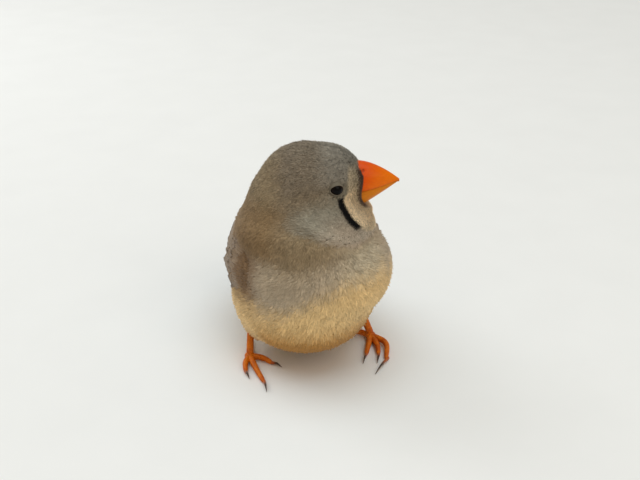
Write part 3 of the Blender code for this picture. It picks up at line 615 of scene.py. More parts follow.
# %% [markdown]
# ## The skin itself
#
# The skin is the outside surface moved inward by the coat's depth, closed at both poles.  Its map
# `OFBake` is simply the two angles of the globe, an unwrap of the skin's own shape, and every tuft
# later takes a small patch of the same unwrap at its own root.

# %% Skin mesh


def bill_nearness(points):
    """The bill's ring for places in the bird's frame."""
    return bill_ring(to_head(points))


def region_facts(points, tone):
    """The facts that the paint reads, for an array of root places."""
    return {"place": points, "head_place": to_head(points), "tone": tone}


skin_grid = grid_points - grid_normals * coat_depth(grid_points)[..., None]
skin_points = np.concatenate([skin_grid.reshape(-1, 3), skin_grid[0].mean(0)[None], skin_grid[-1].mean(0)[None]])
here = np.arange(COLUMNS)
after = (here + 1) % COLUMNS
row_start = (np.arange(ROWS - 1) * COLUMNS)[:, None]
quads = np.stack([row_start + here, row_start + COLUMNS + here, row_start + COLUMNS + after,
                  row_start + after], -1).reshape(-1, 4)
top, low = ROWS * COLUMNS, ROWS * COLUMNS + 1
caps = np.concatenate([np.stack([np.full(COLUMNS, top), here, after], 1),
                       np.stack([np.full(COLUMNS, low), low - 1 - COLUMNS + after, low - 1 - COLUMNS + here], 1)])
u_edges = np.stack([here, here, here + 1, here + 1], 1)[None] / COLUMNS
v_rows = ((np.arange(ROWS) + 0.5) / ROWS)
v_edges = np.stack([v_rows[:-1], v_rows[1:], v_rows[1:], v_rows[:-1]], 1)[:, None]
quad_uv = np.stack(np.broadcast_arrays(u_edges, v_edges), -1).reshape(-1, 2)
cap_uv = np.concatenate([
    np.stack([np.stack([here + 0.5, here, here + 1], 1) / COLUMNS,
              np.tile([0.0, v_rows[0], v_rows[0]], (COLUMNS, 1))], -1).reshape(-1, 2),
    np.stack([np.stack([here + 0.5, here + 1, here], 1) / COLUMNS,
              np.tile([1.0, v_rows[-1], v_rows[-1]], (COLUMNS, 1))], -1).reshape(-1, 2)])
# The skin's tone of 0.72, rising to about 1 near the eyes' lids, is more painted shade in the gaps between feathers.
skin = make_piece("skin", skin_points, [quads, caps], shaded_skin_paint, {"OFBake": np.concatenate([quad_uv, cap_uv])},
                  region_facts(skin_points, 0.72 + 0.3 * ease(-eye_nearness(skin_points), -1.9, -1.3)))
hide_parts("torso", "neck", "head", "right_thigh", "left_thigh")

# %% [markdown]
# ## The lie of the coat
#
# Feathers point away from the bill: back over the crown, down the nape and cheeks, down the breast
# and back along belly and rump.  A field of directions says this for every place at once.  It starts
# as a few arrows in space, one for each region, and is then pressed flat onto the surface.

# %% Direction of the feathers


def lie(points, normals):
    """The feathers' direction: each region's arrow, mixed by shares, less its part along the normal."""
    head, neck, trunk = shares(points)[..., None]
    place = to_head(points)
    from_bill = unit(place * (0, 1, 1) - (0, 0, BILL_MIDDLE_UP)) @ HEAD_AXES
    front = ease(place[..., 0], 3.0, 11.0)[..., None]
    nape = ease(place[..., 0], 1.0, -8.0)[..., None]
    head_arrow = (0.75 * front) * from_bill - HEAD_FORWARD - (0.3 + 0.9 * nape) * UP
    back = ease(points[..., 1], -4.0, 8.0)[..., None]
    neck_arrow = np.array((0.0, 0.3, -1.0)) + back * np.array((0.0, 0.6, 0.3))
    trunk_arrow = np.array((0.0, 0.8, -0.75))
    arrow = head * unit(head_arrow) + neck * unit(neck_arrow) + trunk * unit(trunk_arrow)
    arrow = arrow - (arrow * normals).sum(-1, keepdims=True) * normals
    return unit(arrow)


print("lie on the breast:", lie(np.array([[0.8, -20.9, 26.0]]), np.array([[0.0, -1.0, 0.0]])).round(2))

# %% [markdown]
# ## The wing's chart
#
# The folded wing is a bent chart: along from the wrist to the tips, across toward the back, and lift
# off the body.  Quills and soft shoulder feathers are both placed in it.

# %% Wing chart
WING_WRIST, WING_BEND, WING_TIP = (np.array(p) for p in ((16.6, -4.0, 26.5), (21.2, 15.0, 25.5), (5.6, 47.0, 12.0)))
WING_LENGTH, WING_WRAP, WING_ROLL, WING_ROLL_POWER = 56.0, (14.5, 26.0), (8.0, 46.0), 2.2


def wing_point(along, across, lift, side):
    """The wing's chart: a curve through wrist, bend and tip, with an arc of the wrap's radius across it."""
    along, across, lift = np.broadcast_arrays(*(np.asarray(v, float) for v in (along, across, lift)))
    t = (along / WING_LENGTH)[..., None]
    line = (1 - t) ** 2 * WING_WRIST + 2 * t * (1 - t) * WING_BEND + t ** 2 * WING_TIP
    forward = unit(2 * (1 - t) * (WING_BEND - WING_WRIST) + 2 * t * (WING_TIP - WING_BEND))
    roll = np.radians(WING_ROLL[0] + (WING_ROLL[1] - WING_ROLL[0]) * np.maximum(t, 0) ** WING_ROLL_POWER)
    facing = np.concatenate([np.cos(roll), 0 * roll, np.sin(roll)], -1)
    over = unit(np.cross(facing, forward))
    facing = np.cross(forward, over)
    wrap = WING_WRAP[0] + (WING_WRAP[1] - WING_WRAP[0]) * t
    bend = across[..., None] / wrap
    point = line + (wrap + lift[..., None]) * (np.sin(bend) * over + np.cos(bend) * facing) - wrap * facing
    return point * np.array((side, 1.0, 1.0))


print("the wrist:", wing_point(0.0, 0.0, 0.0, 1).round(1), " the wing's tip:", wing_point(56.0, 0.0, 0.0, 1).round(1))

# %% [markdown]
# ## Sowing the roots
#
# Each cell of the skin's grid gets as many roots as its area calls for, at random places inside the
# cell.  That spreads them evenly, with no bald patch and no row.  The eyes and the bill are left free.
#
# On the shoulder the wing's smallest coverts are as soft as the back's feathers.  They are sown too,
# on the wing's chart, and sink toward its rim, so the wing has no hard front edge.

# %% Roots of the tufts
draw = np.random.default_rng(11)


def crowd(points):
    """Roots for each square millimetre: densest on the face."""
    head, neck, trunk = shares(points)
    return head * (13.0 + 8.0 * face_share(points)) + neck * 7.6 + trunk * 5.2


def sow():
    """Random roots on the outside surface: point, normal and place on the unwrap."""
    wrapped = np.concatenate([grid_points, grid_points[:, :1]], 1)
    wrapped_normals = np.concatenate([grid_normals, grid_normals[:, :1]], 1)
    a, b = wrapped[:-1, :-1], wrapped[1:, :-1]
    c, d = wrapped[1:, 1:], wrapped[:-1, 1:]
    area = 0.5 * np.linalg.norm(np.cross(c - a, d - b), axis=-1)
    wanted = area * crowd(0.25 * (a + b + c + d))
    count = np.floor(wanted + draw.random(wanted.shape)).astype(int).ravel()
    row, column = (np.repeat(index.ravel(), count) for index in np.indices(wanted.shape))
    s, t = draw.random((2, len(row)))

    def between(values):
        """The value inside a cell, by its four corners."""
        return ((1 - s)[:, None] * ((1 - t)[:, None] * values[row, column] + t[:, None] * values[row, column + 1])
                + s[:, None] * ((1 - t)[:, None] * values[row + 1, column] + t[:, None] * values[row + 1, column + 1]))

    unwrap = np.stack([(column + t) / COLUMNS, (row + 0.5 + s) / ROWS], 1)
    return between(wrapped), unit(between(wrapped_normals)), unwrap


roots, root_normals, root_unwrap = sow()
free = (eye_nearness(roots) > 0.97) & (bill_nearness(roots) > 0.94)
roots, root_normals, root_unwrap = roots[free], root_normals[free], root_unwrap[free]
root_along, root_long = lie(roots, root_normals), coat_length(roots)

SHOULDER_ALONG, SHOULDER_ACROSS, SHOULDER_HIGH, SHOULDER_CROWD = (-4.5, 10.5), (-8.0, 11.0), 1.9, 8.0


def sow_shoulder(side):
    """Roots on the wing's chart: point, normal, direction and unwrap; the lift falls to 0 at the patch's rim."""
    low, high = SHOULDER_ALONG
    count = int((high + 8.0 - low) * (SHOULDER_ACROSS[1] - SHOULDER_ACROSS[0]) * SHOULDER_CROWD)
    along, across = draw.uniform(low, high + 8.0, count), draw.uniform(*SHOULDER_ACROSS, count)
    middle, half = 0.5 * sum(SHOULDER_ACROSS), 0.5 * (SHOULDER_ACROSS[1] - SHOULDER_ACROSS[0])
    rim = np.hypot((across - middle) / half, np.minimum(along - 3.0, 0.0) / (3.0 - low))
    keep = (rim < 1.0) & (along < high + 8.0 * ease(across, 4.5, 8.5) - 2.5 * draw.random(count))
    along, across, rim = along[keep], across[keep], rim[keep]
    high_at = SHOULDER_HIGH * (1.0 - rim ** 3) - 0.3 + 0.9 * ease(along, 7.0, 12.0) * ease(across, 3.0, 7.0)

    def lifted(forward, over):
        """The patch's surface at a place of the chart."""
        return wing_point(along + forward, across + over, high_at, side)

    point, tip, beside = lifted(0.0, 0.0), lifted(0.3, 0.0), lifted(0.0, 0.3)
    forward = unit(tip - point)
    normal = unit(np.cross(beside - point, tip - point)) * side
    normal = normal * np.sign((normal * (point - START)).sum(-1, keepdims=True))
    ray = unit(point - START)
    globe = np.stack([np.arctan2(ray[:, 1], ray[:, 0]) / (2 * np.pi) % 1.0, np.arccos(ray[:, 2]) / np.pi], 1)
    return point, normal, globe, forward, 2.0 + 0.0 * along


for side in (-1, 1):
    patch = sow_shoulder(side)
    roots, root_normals, root_unwrap, root_along, root_long = (
        np.concatenate(pair) for pair in zip((roots, root_normals, root_unwrap, root_along, root_long), patch))
print(len(roots), "roots")

# %% [markdown]
# ## Making a tuft
#
# One body feather ends in loose barbs.  So a tuft is a fan of a few thin blades from one root: each
# blade is a three-sided spindle with a root, a widest place and a tip, six triangles in all.  It rises
# off the skin, then bends to follow the body.  All blades of all tufts are worked out together as one
# big array with axes for tuft, blade and corner, and never in a loop.
#
# The blades' normals lean toward the skin's own, which makes thousands of them shade as one soft coat.

# %% Tufts as arrays
STATION_ALONG = np.array((0.0, 0.45, 1.0))
STATION_RISE = np.array((-0.15, 0.8, 1.1))
BLADE_FACES = np.array([[0, 1, 3], [0, 3, 2], [0, 2, 1], [1, 4, 3], [3, 4, 2], [2, 4, 1]])
# Each blade's tone runs from 0.72 at its root to 1.05 at its tip: painted shade toward the root, down in the coat.
BLADE_SHADE_TONES = np.array((0.72, 0.96, 0.96, 1.0, 1.05))
BLADE_WIDE, FAN = 0.1, 0.36
PATCH = 0.003


def coat_piece(name, chosen, blades):
    """All tufts of one region: root + along * lie + height * normal, fanned about the root."""
    points, normals = roots[chosen], root_normals[chosen]
    count = len(points)
    along = root_along[chosen]
    swing = 0.24 * ripple(points, 6.0, 3) + draw.normal(0, 0.16, count)
    side = np.cross(normals, along)
    along = np.cos(swing)[:, None] * along + np.sin(swing)[:, None] * side
    side = np.cross(normals, along)
    near = np.clip(np.minimum(eye_nearness(points), bill_nearness(points)) - 1.0, 0, 1)
    length = root_long[chosen] * draw.uniform(0.75, 1.2, count) * (0.45 + 0.55 * ease(near, 0.0, 0.7))
    depth = coat_depth(points) * draw.uniform(0.8, 1.2, count) * (0.6 + 0.4 * ease(near, 0.0, 0.5))
    bend = 1.0 / (2 * (18.0 - 6.0 * shares(points)[0]))
    fan = np.linspace(-1, 1, blades) * FAN
    angle = fan[None] + draw.normal(0, 0.07, (count, blades))
    stretch = (1.0 - 0.35 * np.abs(fan[None]) / FAN) * draw.uniform(0.85, 1.12, (count, blades))
    reach = length[:, None, None] * stretch[..., None] * STATION_ALONG
    loose = 1.0 + 0.14 * draw.normal(0, 1, (count, blades, 1)) * STATION_ALONG
    height = depth[:, None, None] * STATION_RISE * loose - bend[:, None, None] * reach ** 2
    direct = np.cos(angle)[..., None] * along[:, None] + np.sin(angle)[..., None] * side[:, None]
    flank = np.cos(angle)[..., None] * side[:, None] - np.sin(angle)[..., None] * along[:, None]
    base = points - coat_depth(points)[:, None] * normals
    spine = (base[:, None, None] + reach[..., None] * direct[:, :, None]
             + height[..., None] * normals[:, None, None])
    wide = (length * BLADE_WIDE)[:, None, None]
    corners = np.stack([spine[:, :, 0], spine[:, :, 1] - wide * flank, spine[:, :, 1] + wide * flank,
                        spine[:, :, 1] + 0.35 * wide * normals[:, None], spine[:, :, 2]], 2)
    faces = (np.arange(count * blades)[:, None, None] * 5 + BLADE_FACES).reshape(-1, 3)
    # Each tuft's own random tone, times the blades' painted shade toward their roots.
    own = draw.normal(1.0, 0.07, count)
    tone = own[:, None, None] * draw.uniform(0.93, 1.07, (count, blades, 1)) * BLADE_SHADE_TONES
    spread = np.array((0.0, -0.1, 0.1, 0.0, 0.0)) + 0.38 * np.linspace(-1, 1, blades)[:, None]
    rise = np.broadcast_to(np.array((-0.45, 0.05, 0.05, 0.05, 0.45)), spread.shape)
    unwrap = root_unwrap[chosen][:, None, None] + PATCH * np.stack([spread, rise], -1)[None]
    shape = (count, blades, 5)
    outward = unit(0.75 * normals[:, None, None] + 0.25 * np.array((0, -1, 1, 0, 0))[:, None] * side[:, None, None]
                   + 0.35 * along[:, None, None] * np.array((0, 0, 0, 0, 1.0))[:, None])
    facts = {key: np.broadcast_to(value[:, None, None], (*shape, 3)).reshape(-1, 3)
             for key, value in (("place", points), ("head_place", to_head(points)))}
    facts["tone"] = tone.reshape(-1)
    piece = make_piece(name, corners.reshape(-1, 3), faces, coat_paint, {"OFBake": unwrap.reshape(-1, 2)}, facts,
                       np.broadcast_to(outward, (*shape, 3)).reshape(-1, 3))
    return piece


# %% [markdown]
# ## Dividing the coat
#
# A piece should stay under two hundred thousand triangles, so the coat is parted like a dressmaker's
# pattern: the front of the head, its right and left sides, collar, breast, belly, both flanks, and the
# rest, back and rump together, each cut further where it is too big.  The cuts run between roots only.
# The feathers themselves overlap the cuts, so they cannot be seen.

# %% Coat pieces
HEAD_BLADES, BODY_BLADES = 3, 5
MOST_TRIANGLES = 190000
root_place = to_head(roots)
kind = np.argmax(shares(roots), axis=0)
around = np.degrees(np.arctan2(roots[:, 0], -roots[:, 1]))
regions = {
    "head_front": (kind == 0) & (root_place[:, 0] > 3.0),
    "head_right": (kind == 0) & (root_place[:, 0] <= 3.0) & (root_place[:, 1] < 0),
    "head_left": (kind == 0) & (root_place[:, 0] <= 3.0) & (root_place[:, 1] >= 0),
    "collar": kind == 1,
    "breast": (kind == 2) & (np.abs(around) < 60) & (roots[:, 2] >= 17),
    "belly": (kind == 2) & (roots[:, 2] < 17) & (roots[:, 1] < 8),
    "right_flank": (kind == 2) & (around <= -60) & (roots[:, 2] >= 17) & (roots[:, 1] < 12),
    "left_flank": (kind == 2) & (around >= 60) & (roots[:, 2] >= 17) & (roots[:, 1] < 12),
}
taken = np.any(list(regions.values()), axis=0)
regions["rump"] = ~taken
coat_total = 0
for region, chosen in regions.items():
    blades = HEAD_BLADES if region.startswith("head") else BODY_BLADES
    index = np.nonzero(chosen)[0]
    parts = int(np.ceil(len(index) * blades * len(BLADE_FACES) / MOST_TRIANGLES))
    order = index[np.argsort(root_unwrap[index, 0], kind="stable")]
    cream = region in ("belly", "breast")
    for number, part in enumerate(np.array_split(order, parts)):
        coat_piece(f"coat_{region}_{number + 1}", part, blades)
    coat_total += len(index) * blades * len(BLADE_FACES)
print("coat:", coat_total, "triangles")

# %% [markdown]
# ## Vanes: wing and tail feathers
#
# A flight feather is a thin blade on a stiff shaft.  Each one here is a closed sheet on a grid of two
# parameters: t runs from root to tip and v from one edge to the other.  Its half width is a soft
# outline in t, its edges droop a little, and a narrow ridge along v = 0 is the shaft.
#
# Every feather of the folded wing is placed in the wing's chart, in the same tiers as in the solids but
# finer and more of them.

# %% The vane
VANE_T = 1.0 - (1.0 - np.linspace(0.0, 1.0, 15)) ** 1.5
VANE_V = np.array((-1.0, -0.82, -0.5, -0.2, -0.06, 0.0, 0.06, 0.2, 0.5, 0.82, 1.0))
SHAFT_HIGH, VANE_THIN = 0.07, 0.07


def outline(blunt):
    """Half width of a vane along t: it swells from the quill, then closes as a quarter ellipse at the tip."""
    tip = np.clip((VANE_T - blunt) / (1.0 - blunt), 0.0, 1.0)
    return (0.32 + 0.68 * ease(VANE_T, 0.0, 0.3)) * np.sqrt(np.maximum(1.0 - tip ** 2.0, 0.004))


def vane_cloud(chart, count, roots_at, tips_at, wide, lifts, rise, tilt, blunt=0.8, seed=0, loose=1.0,
               early=1.0):
    """Points of several vanes: the chart at (root to tip, across, lift), for the upper face and the lower one."""
    own = np.random.default_rng(seed)
    part = np.linspace(0.0, 1.0, count)[:, None, None]

    def run(pair, wobble=0.0):
        """A value for each vane, from the first to the last, with its own small error."""
        return pair[0] + (pair[1] - pair[0]) * part + own.normal(0, 1, (count, 1, 1)) * wobble

    t = VANE_T[None, :, None]
    v = VANE_V[None, None, :]
    ragged = 1.0 + own.normal(0, 1, (count, len(VANE_T), 1)) * (np.abs(v) > 0.7) * (0.05 + 0.1 * loose * t ** 2)
    half = 0.5 * wide * outline(blunt)[None, :, None] * ragged * (1 + own.normal(0, 0.04 * loose, (count, 1, 1)))
    root_along, tip_along = run(roots_at[0]), run(tips_at[0], 0.35 * loose)
    root_across, tip_across = run(roots_at[1]), run(tips_at[1], 0.12 * loose)
    frayed = 0.12 * loose * own.normal(0, 1, (count, 1, len(VANE_V))) * t ** 6
    along = root_along + (tip_along - root_along) * t + frayed
    across = root_across + (tip_across - root_across) * t + half * v
    droop = 0.16 * v ** 2 * half
    open_ = 0.13 * loose * np.abs(own.normal(0, 1, (count, 1, 1))) * t ** 3
    lift = (lifts[0] + (lifts[1] - lifts[0]) * (1.0 - (1.0 - t) ** early) + rise * np.arange(count)[:, None, None]
            + own.normal(0, 0.02 * loose, (count, 1, 1)) - tilt * v - droop + open_)
    thick = VANE_THIN * (1.0 - 0.5 * np.abs(v)) * (1.0 - 0.4 * t) + 0 * across
    ridge = SHAFT_HIGH * np.exp(-(v / 0.07) ** 2) * (1.0 - 0.8 * t)
    return chart(along, across, lift + thick + ridge), chart(along, across, lift - thick)


def vane_faces(count):
    """Faces of closed sheets: the upper grid, the lower grid turned over, and the wall round the rim."""
    rows, columns = len(VANE_T), len(VANE_V)
    size = rows * columns
    cell = np.arange(size).reshape(rows, columns)
    upper = np.stack([cell[:-1, :-1], cell[1:, :-1], cell[1:, 1:], cell[:-1, 1:]], -1).reshape(-1, 4)
    rim = np.concatenate([cell[:, 0], cell[-1, 1:], cell[-2::-1, -1], cell[0, -2:0:-1]])
    behind = np.roll(rim, -1)
    wall = np.stack([rim, rim + size, behind + size, behind], 1)
    one = np.concatenate([upper, upper[:, ::-1] + size, wall])
    return (np.arange(count)[:, None, None] * 2 * size + one).reshape(-1, 4)


def vane_piece(name, clouds, material, turned):
    """One object of many vanes, with a map named vane (across, along) and a tone for each feather."""
    points = np.concatenate([np.stack(cloud, 1) for cloud in clouds])
    count = len(points)
    faces = vane_faces(count)
    faces = faces[:, ::-1] if turned else faces
    own = np.random.default_rng(count)
    shape = (count, 2, len(VANE_T), len(VANE_V))
    uv = np.stack(np.broadcast_arrays((VANE_V / 2 + 0.5)[None, None, None], VANE_T[None, None, :, None],
                                      np.zeros(shape)), -1)[..., :2]
    tone = np.broadcast_to(own.normal(1.0, 0.06, count)[:, None, None, None], shape)
    return make_piece(name, points.reshape(-1, 3), faces, material, {"vane": uv.reshape(-1, 2)},
                      {"tone": tone.reshape(-1)})


print("faces of one vane:", len(vane_faces(1)))

# %% [markdown]
# ## Paint of the vanes
#
# A vane is darkest along its shaft and pale on its fringe, and fine barbs run slantwise off the shaft.
# The map that each vane carries tells the paint where that is.

# %% Vane materials


def vane_paint(name, dark, pale, bars=None):
    """A vane's colours from its own map: shaft, web, fringe and barbs, or bars of a second colour."""
    material, wire, shader = new_material(name, 0.55, Sheen_Weight=0.15)
    shader.inputs["Specular IOR Level"].default_value = 0.3
    u, v, _ = wire.node("ShaderNodeUVMap", {"uv_map": "vane"}).parts()
    edge = abs(u - 0.5) * 2
    place = wire.node("ShaderNodeTexCoord", output="Object")
    mottle = place.noise(0.0016, 3.0) * 0.3 + 0.85
    colour = wire.node("ShaderNodeRGB")
    colour.socket.default_value = (*dark, 1.0)
    colour = colour.to(pale, edge.ease(0.6, 1.0) * (1 - v.ease(0.6, 0.95)) * 0.5)
    # Each vane is painted darker toward its tip.
    colour = colour.to(tuple(0.5 * part for part in dark), v.ease(0.82, 1.0) * 0.55)
    colour = colour.to(tuple(0.7 * part for part in dark), edge.ease(0.09, 0.03))
    if bars:
        colour = colour.to(bars, wire.maths("SINE", v * 21 + edge * 1.2).ease(-0.1, 0.35) * v.ease(0.25, 0.4))
    barbs = wire.maths("SINE", v * 260 - edge * 26)
    feed(colour.shaded(mottle * attribute(wire, "tone", "Fac") * (barbs * 0.05 + 1)), shader, "Base Color")
    bump = wire.node("ShaderNodeBump", None, {"Height": barbs, "Strength": 0.35, "Distance": 0.00004})
    feed(bump, shader, "Normal")
    return material


wing_paint = vane_paint("wing_feather", linear(130, 108, 82), linear(160, 138, 110))
tail_paint = vane_paint("tail_feather", linear(58, 50, 44), linear(96, 84, 72))
barred_paint = vane_paint("barred_tail_covert", linear(40, 36, 33), linear(60, 54, 50), linear(226, 221, 210))

# %% [markdown]
# ## Folded wings
#
# From the lowest layer up: primaries, secondaries, tertials, greater, median and lesser coverts, and
# the scapulars that lap over the wing from the shoulder.  Under them lies the arm, a flat bar of flesh.

# %% Wings
WING_TIERS = (
    dict(count=8, roots_at=((6.0, 9.0), (-6.2, -2.4)), tips_at=((55.0, 46.5), (-1.6, 1.4)), wide=3.6,
         lifts=(-0.55, -0.75), rise=0.17, tilt=0.12, blunt=0.72),
    dict(count=8, roots_at=((11.0, 13.0), (-5.2, 3.2)), tips_at=((40.0, 36.5), (-4.9, 2.4)), wide=3.5,
         lifts=(-0.15, 0.45), rise=0.157, tilt=0.12, blunt=0.84),
    dict(count=3, roots_at=((11.0, 11.0), (4.2, 7.4)), tips_at=((38.0, 31.0), (3.4, 6.2)), wide=4.7,
         lifts=(0.6, 1.3), rise=0.24, tilt=0.12, blunt=0.8),
    dict(count=11, roots_at=((5.0, 6.0), (-5.8, 6.8)), tips_at=((20.5, 19.0), (-6.0, 7.0)), wide=2.4,
         lifts=(-0.7, 1.05), rise=0.116, tilt=0.11, blunt=0.82, loose=1.6, early=2.6),
    *(dict(count=13, roots_at=((tip - 9.0, tip - 9.5), (-5.4, 7.0)), tips_at=((tip, tip - 1.4), (-6.0, 7.4)), wide=2.0,
           lifts=(lift - 0.9, lift + 0.6), rise=0.06, tilt=0.08, blunt=0.72, loose=2.4, early=2.6)
      for tip, lift in ((15.6, 0.6), (12.8, 0.78), (10.2, 0.94))),
    dict(count=8, roots_at=((1.0, 2.0), (5.8, 10.6)), tips_at=((27.0, 18.0), (6.2, 11.0)), wide=3.3,
         lifts=(-0.6, 1.45), rise=0.07, tilt=0.12, blunt=0.66, loose=1.6, early=2.4),
)


def grid_faces(rows, columns):
    """Quads of a grid that is closed round its columns."""
    here = np.arange(columns)
    beside = (here + 1) % columns
    start = (np.arange(rows - 1) * columns)[:, None]
    return np.stack([start + here, start + beside, start + columns + beside, start + columns + here], -1).reshape(-1, 4)


def closed_loft(rings):
    """Points and faces of a body through rings of points, its two ends closed by fans."""
    rows, columns, _ = rings.shape
    points = np.concatenate([rings.reshape(-1, 3), rings[0].mean(0)[None], rings[-1].mean(0)[None]])
    here = np.arange(columns)
    beside = (here + 1) % columns
    first, last = rows * columns, rows * columns + 1
    fans = np.concatenate([np.stack([np.full(columns, first), beside, here], 1),
                           np.stack([np.full(columns, last), first - columns + here, first - columns + beside], 1)])
    return points, [grid_faces(rows, columns), fans]


def sunk(along, across):
    """How deep the wing's upper front edge dips under the back's feathers: a square of the way over across = 4.5."""
    return 0.18 * np.maximum(across - 4.5, 0.0) ** 2 * (1.0 - ease(along, 6.0, 13.0))


for side, name in ((-1, "right"), (1, "left")):
    clouds = [vane_cloud(lambda a, b, c: wing_point(a, b, c - sunk(a, b), side), seed=7 * index + side + 1, **tier)
              for index, tier in enumerate(WING_TIERS)]
    wing = vane_piece(f"{name}_wing_feathers", clouds, wing_paint, side < 0)
    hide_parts(f"{name}_wing")
    along = np.linspace(0.0, 21.0, 24)[:, None]
    swell = np.sqrt(np.maximum(1.0 - np.abs(along / 10.5 - 1.0) ** 3.5, 0.01))
    turn = 2 * np.pi * np.arange(32) / 32
    across = 1.0 + 7.4 * swell * np.cos(turn)
    lift = 0.2 + (1.0 - 0.6 * along / 21) * swell * np.sin(turn) + 0.06 * (across + 7)
    arm_points, arm_faces = closed_loft(wing_point(along, across, lift, side))
    if side < 0:
        arm_faces = [group[:, ::-1] for group in arm_faces]
    # The arm's tone of 0.7 is painted shade under the wing's feathers.
    make_piece(f"{name}_wing_arm", arm_points, arm_faces, shaded_skin_paint, None,
                       region_facts(arm_points, np.full(len(arm_points), 0.7)))

# %% [markdown]
# ## Tail
#
# Twelve tail feathers lie in a narrow fan, the middle pair on top.  Over their roots lie the long
# upper tail coverts, black with white bars, which every zebra finch has and which give it its name.

# %% Tail feathers and coverts
TAIL_ROOT, TAIL_TIP = np.array((0.2, 25.0, 16.0)), np.array((2.2, 61.0, 4.6))
TAIL_BACK = unit(TAIL_TIP - TAIL_ROOT)
TAIL_SIDE = unit(np.cross(TAIL_BACK, UP))
TAIL_OVER = np.cross(TAIL_SIDE, TAIL_BACK)
TAIL_LONG = np.linalg.norm(TAIL_TIP - TAIL_ROOT)


def tail_point(along, across, lift):
    """The tail's chart: a flat fan along the back line, arched a little across."""
    along, across, lift = np.broadcast_arrays(along, across, lift)
    arched = lift - 0.012 * across ** 2
    return (TAIL_ROOT + along[..., None] * TAIL_BACK + across[..., None] * TAIL_SIDE + arched[..., None] * TAIL_OVER)


def tail_half(sign):
    """Six tail feathers of one side, from the outermost and lowest to the middle one."""
    low = sign * 5.5
    return vane_cloud(tail_point, 6, ((0.0, 0.0), (low * 0.35, sign * 0.5 * 0.35)),
                      ((TAIL_LONG - 3.0, TAIL_LONG), (low * 0.86, sign * 0.5 * 0.86)), 4.1,
                      (-1.5 - 0.12 * (sign > 0),) * 2, 0.3, 0.12 * sign, 0.86, 30 + sign)


tail_clouds = [tail_half(-1), tail_half(1)]
tail = vane_piece("tail_feathers", tail_clouds, tail_paint, False)
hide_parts("tail")
covert_clouds = []
for row, (start, tip, apart, lift) in enumerate(((2.0, 21.0, 4.6, 0.35), (0.0, 16.5, 4.4, 0.75), (-1.0, 11.5, 3.6, 1.05))):
    for sign in (-1, 1):
        covert_clouds.append(vane_cloud(
            tail_point, 4, ((start, start), (sign * apart, sign * 0.4)),
            ((tip - 2.5, tip), (sign * apart * 1.1, sign * 0.5)), 3.4, (lift - 0.5, lift - 0.35), 0.14,
            0.1 * sign, 0.8, 50 + row * 2 + sign))
coverts = vane_piece("tail_coverts", covert_clouds, barred_paint, False)
turn = 2 * np.pi * np.arange(28) / 28
along = np.linspace(-3.0, 12.0, 20)[:, None]
narrow = np.sqrt(np.maximum(1 - ((along + 3) / 15.2) ** 2.4, 0.002))
stem_points, stem_faces = closed_loft(tail_point(along, 4.2 * narrow * np.cos(turn), -0.9 + 2.1 * narrow * np.sin(turn)))
# The stem's tone of 0.8 is painted shade under the tail's coverts.
stem = make_piece("tail_stem", stem_points, stem_faces, shaded_skin_paint, None,
                  region_facts(stem_points, np.full(len(stem_points), 0.8)))

# %% [markdown]
# ## The bill
#
# A finch's bill is a strong cone in two halves.  Each half is a profile carried along the head's
# forward axis: the upper edge, the line of the mouth and the lower edge are power curves of how far
# along it is, and the section is a full ellipse.  The nostril is a small dent by the base.

# %% Bill
BILL_BASE, BILL_TIP, BILL_TIP_UP, BILL_TIP_HALF = 12.0, 22.0, 3.8, 0.22
CULMEN_UP, GAPE_UP, CHIN_UP, BILL_WIDE = 8.5, 2.3, -3.0, 7.6
NOSTRIL_AT, NOSTRIL_WIDE = np.array((13.2, 2.3, 7.0)), 0.4
MOUTH_LINE = 0.1


def bill_half(upper):
    """One half of the bill: section height and width fall as powers of the way from base to tip."""
    ahead = 9.8 + (BILL_TIP - 9.8) * np.sin(np.linspace(0, np.pi / 2, 56)) ** 0.85
    way = np.clip((ahead - BILL_BASE) / (BILL_TIP - BILL_BASE), 0, 1)
    mouth = GAPE_UP + (BILL_TIP_UP - GAPE_UP) * way ** 1.3
    half = 0.5 * BILL_WIDE * (1.0 - way ** 1.45) + BILL_TIP_HALF
    if upper:
        edge = CULMEN_UP + (BILL_TIP_UP + BILL_TIP_HALF - CULMEN_UP) * way ** 1.75
        base = mouth + 0.5 * MOUTH_LINE - 0.18 * (1 - way)
    else:
        half = half * (0.92 - 0.06 * way)
        edge = CHIN_UP + (BILL_TIP_UP - 0.5 - CHIN_UP) * np.clip(way * 1.05, 0, 1) ** 1.1
        base = mouth - 0.5 * MOUTH_LINE - 0.18 * (1 - way)
    turn = np.linspace(0, np.pi, 41)
    arc = np.stack(np.broadcast_arrays(ahead[:, None], np.cos(turn) * half[:, None],
                                       base[:, None] + (edge - base)[:, None] * np.sin(turn) ** 0.85), -1)
    back = np.stack(np.broadcast_arrays(ahead[:, None], np.cos(turn)[-2:0:-4] * half[:, None] * 0.97,
                                        base[:, None] + 0 * turn[-2:0:-4]), -1)
    rings = np.concatenate([arc, back], 1)
    if upper:
        for side in (-1, 1):
            offset = rings - NOSTRIL_AT * (1, side, 1)
            dent = 0.55 * np.exp(-((offset / (NOSTRIL_WIDE, 1.2, NOSTRIL_WIDE * 0.8)) ** 2).sum(-1))
            rings = rings - dent[..., None] * unit(rings * (0, 1, 0) + (0, 0, 0.3 * side * side))
    return rings


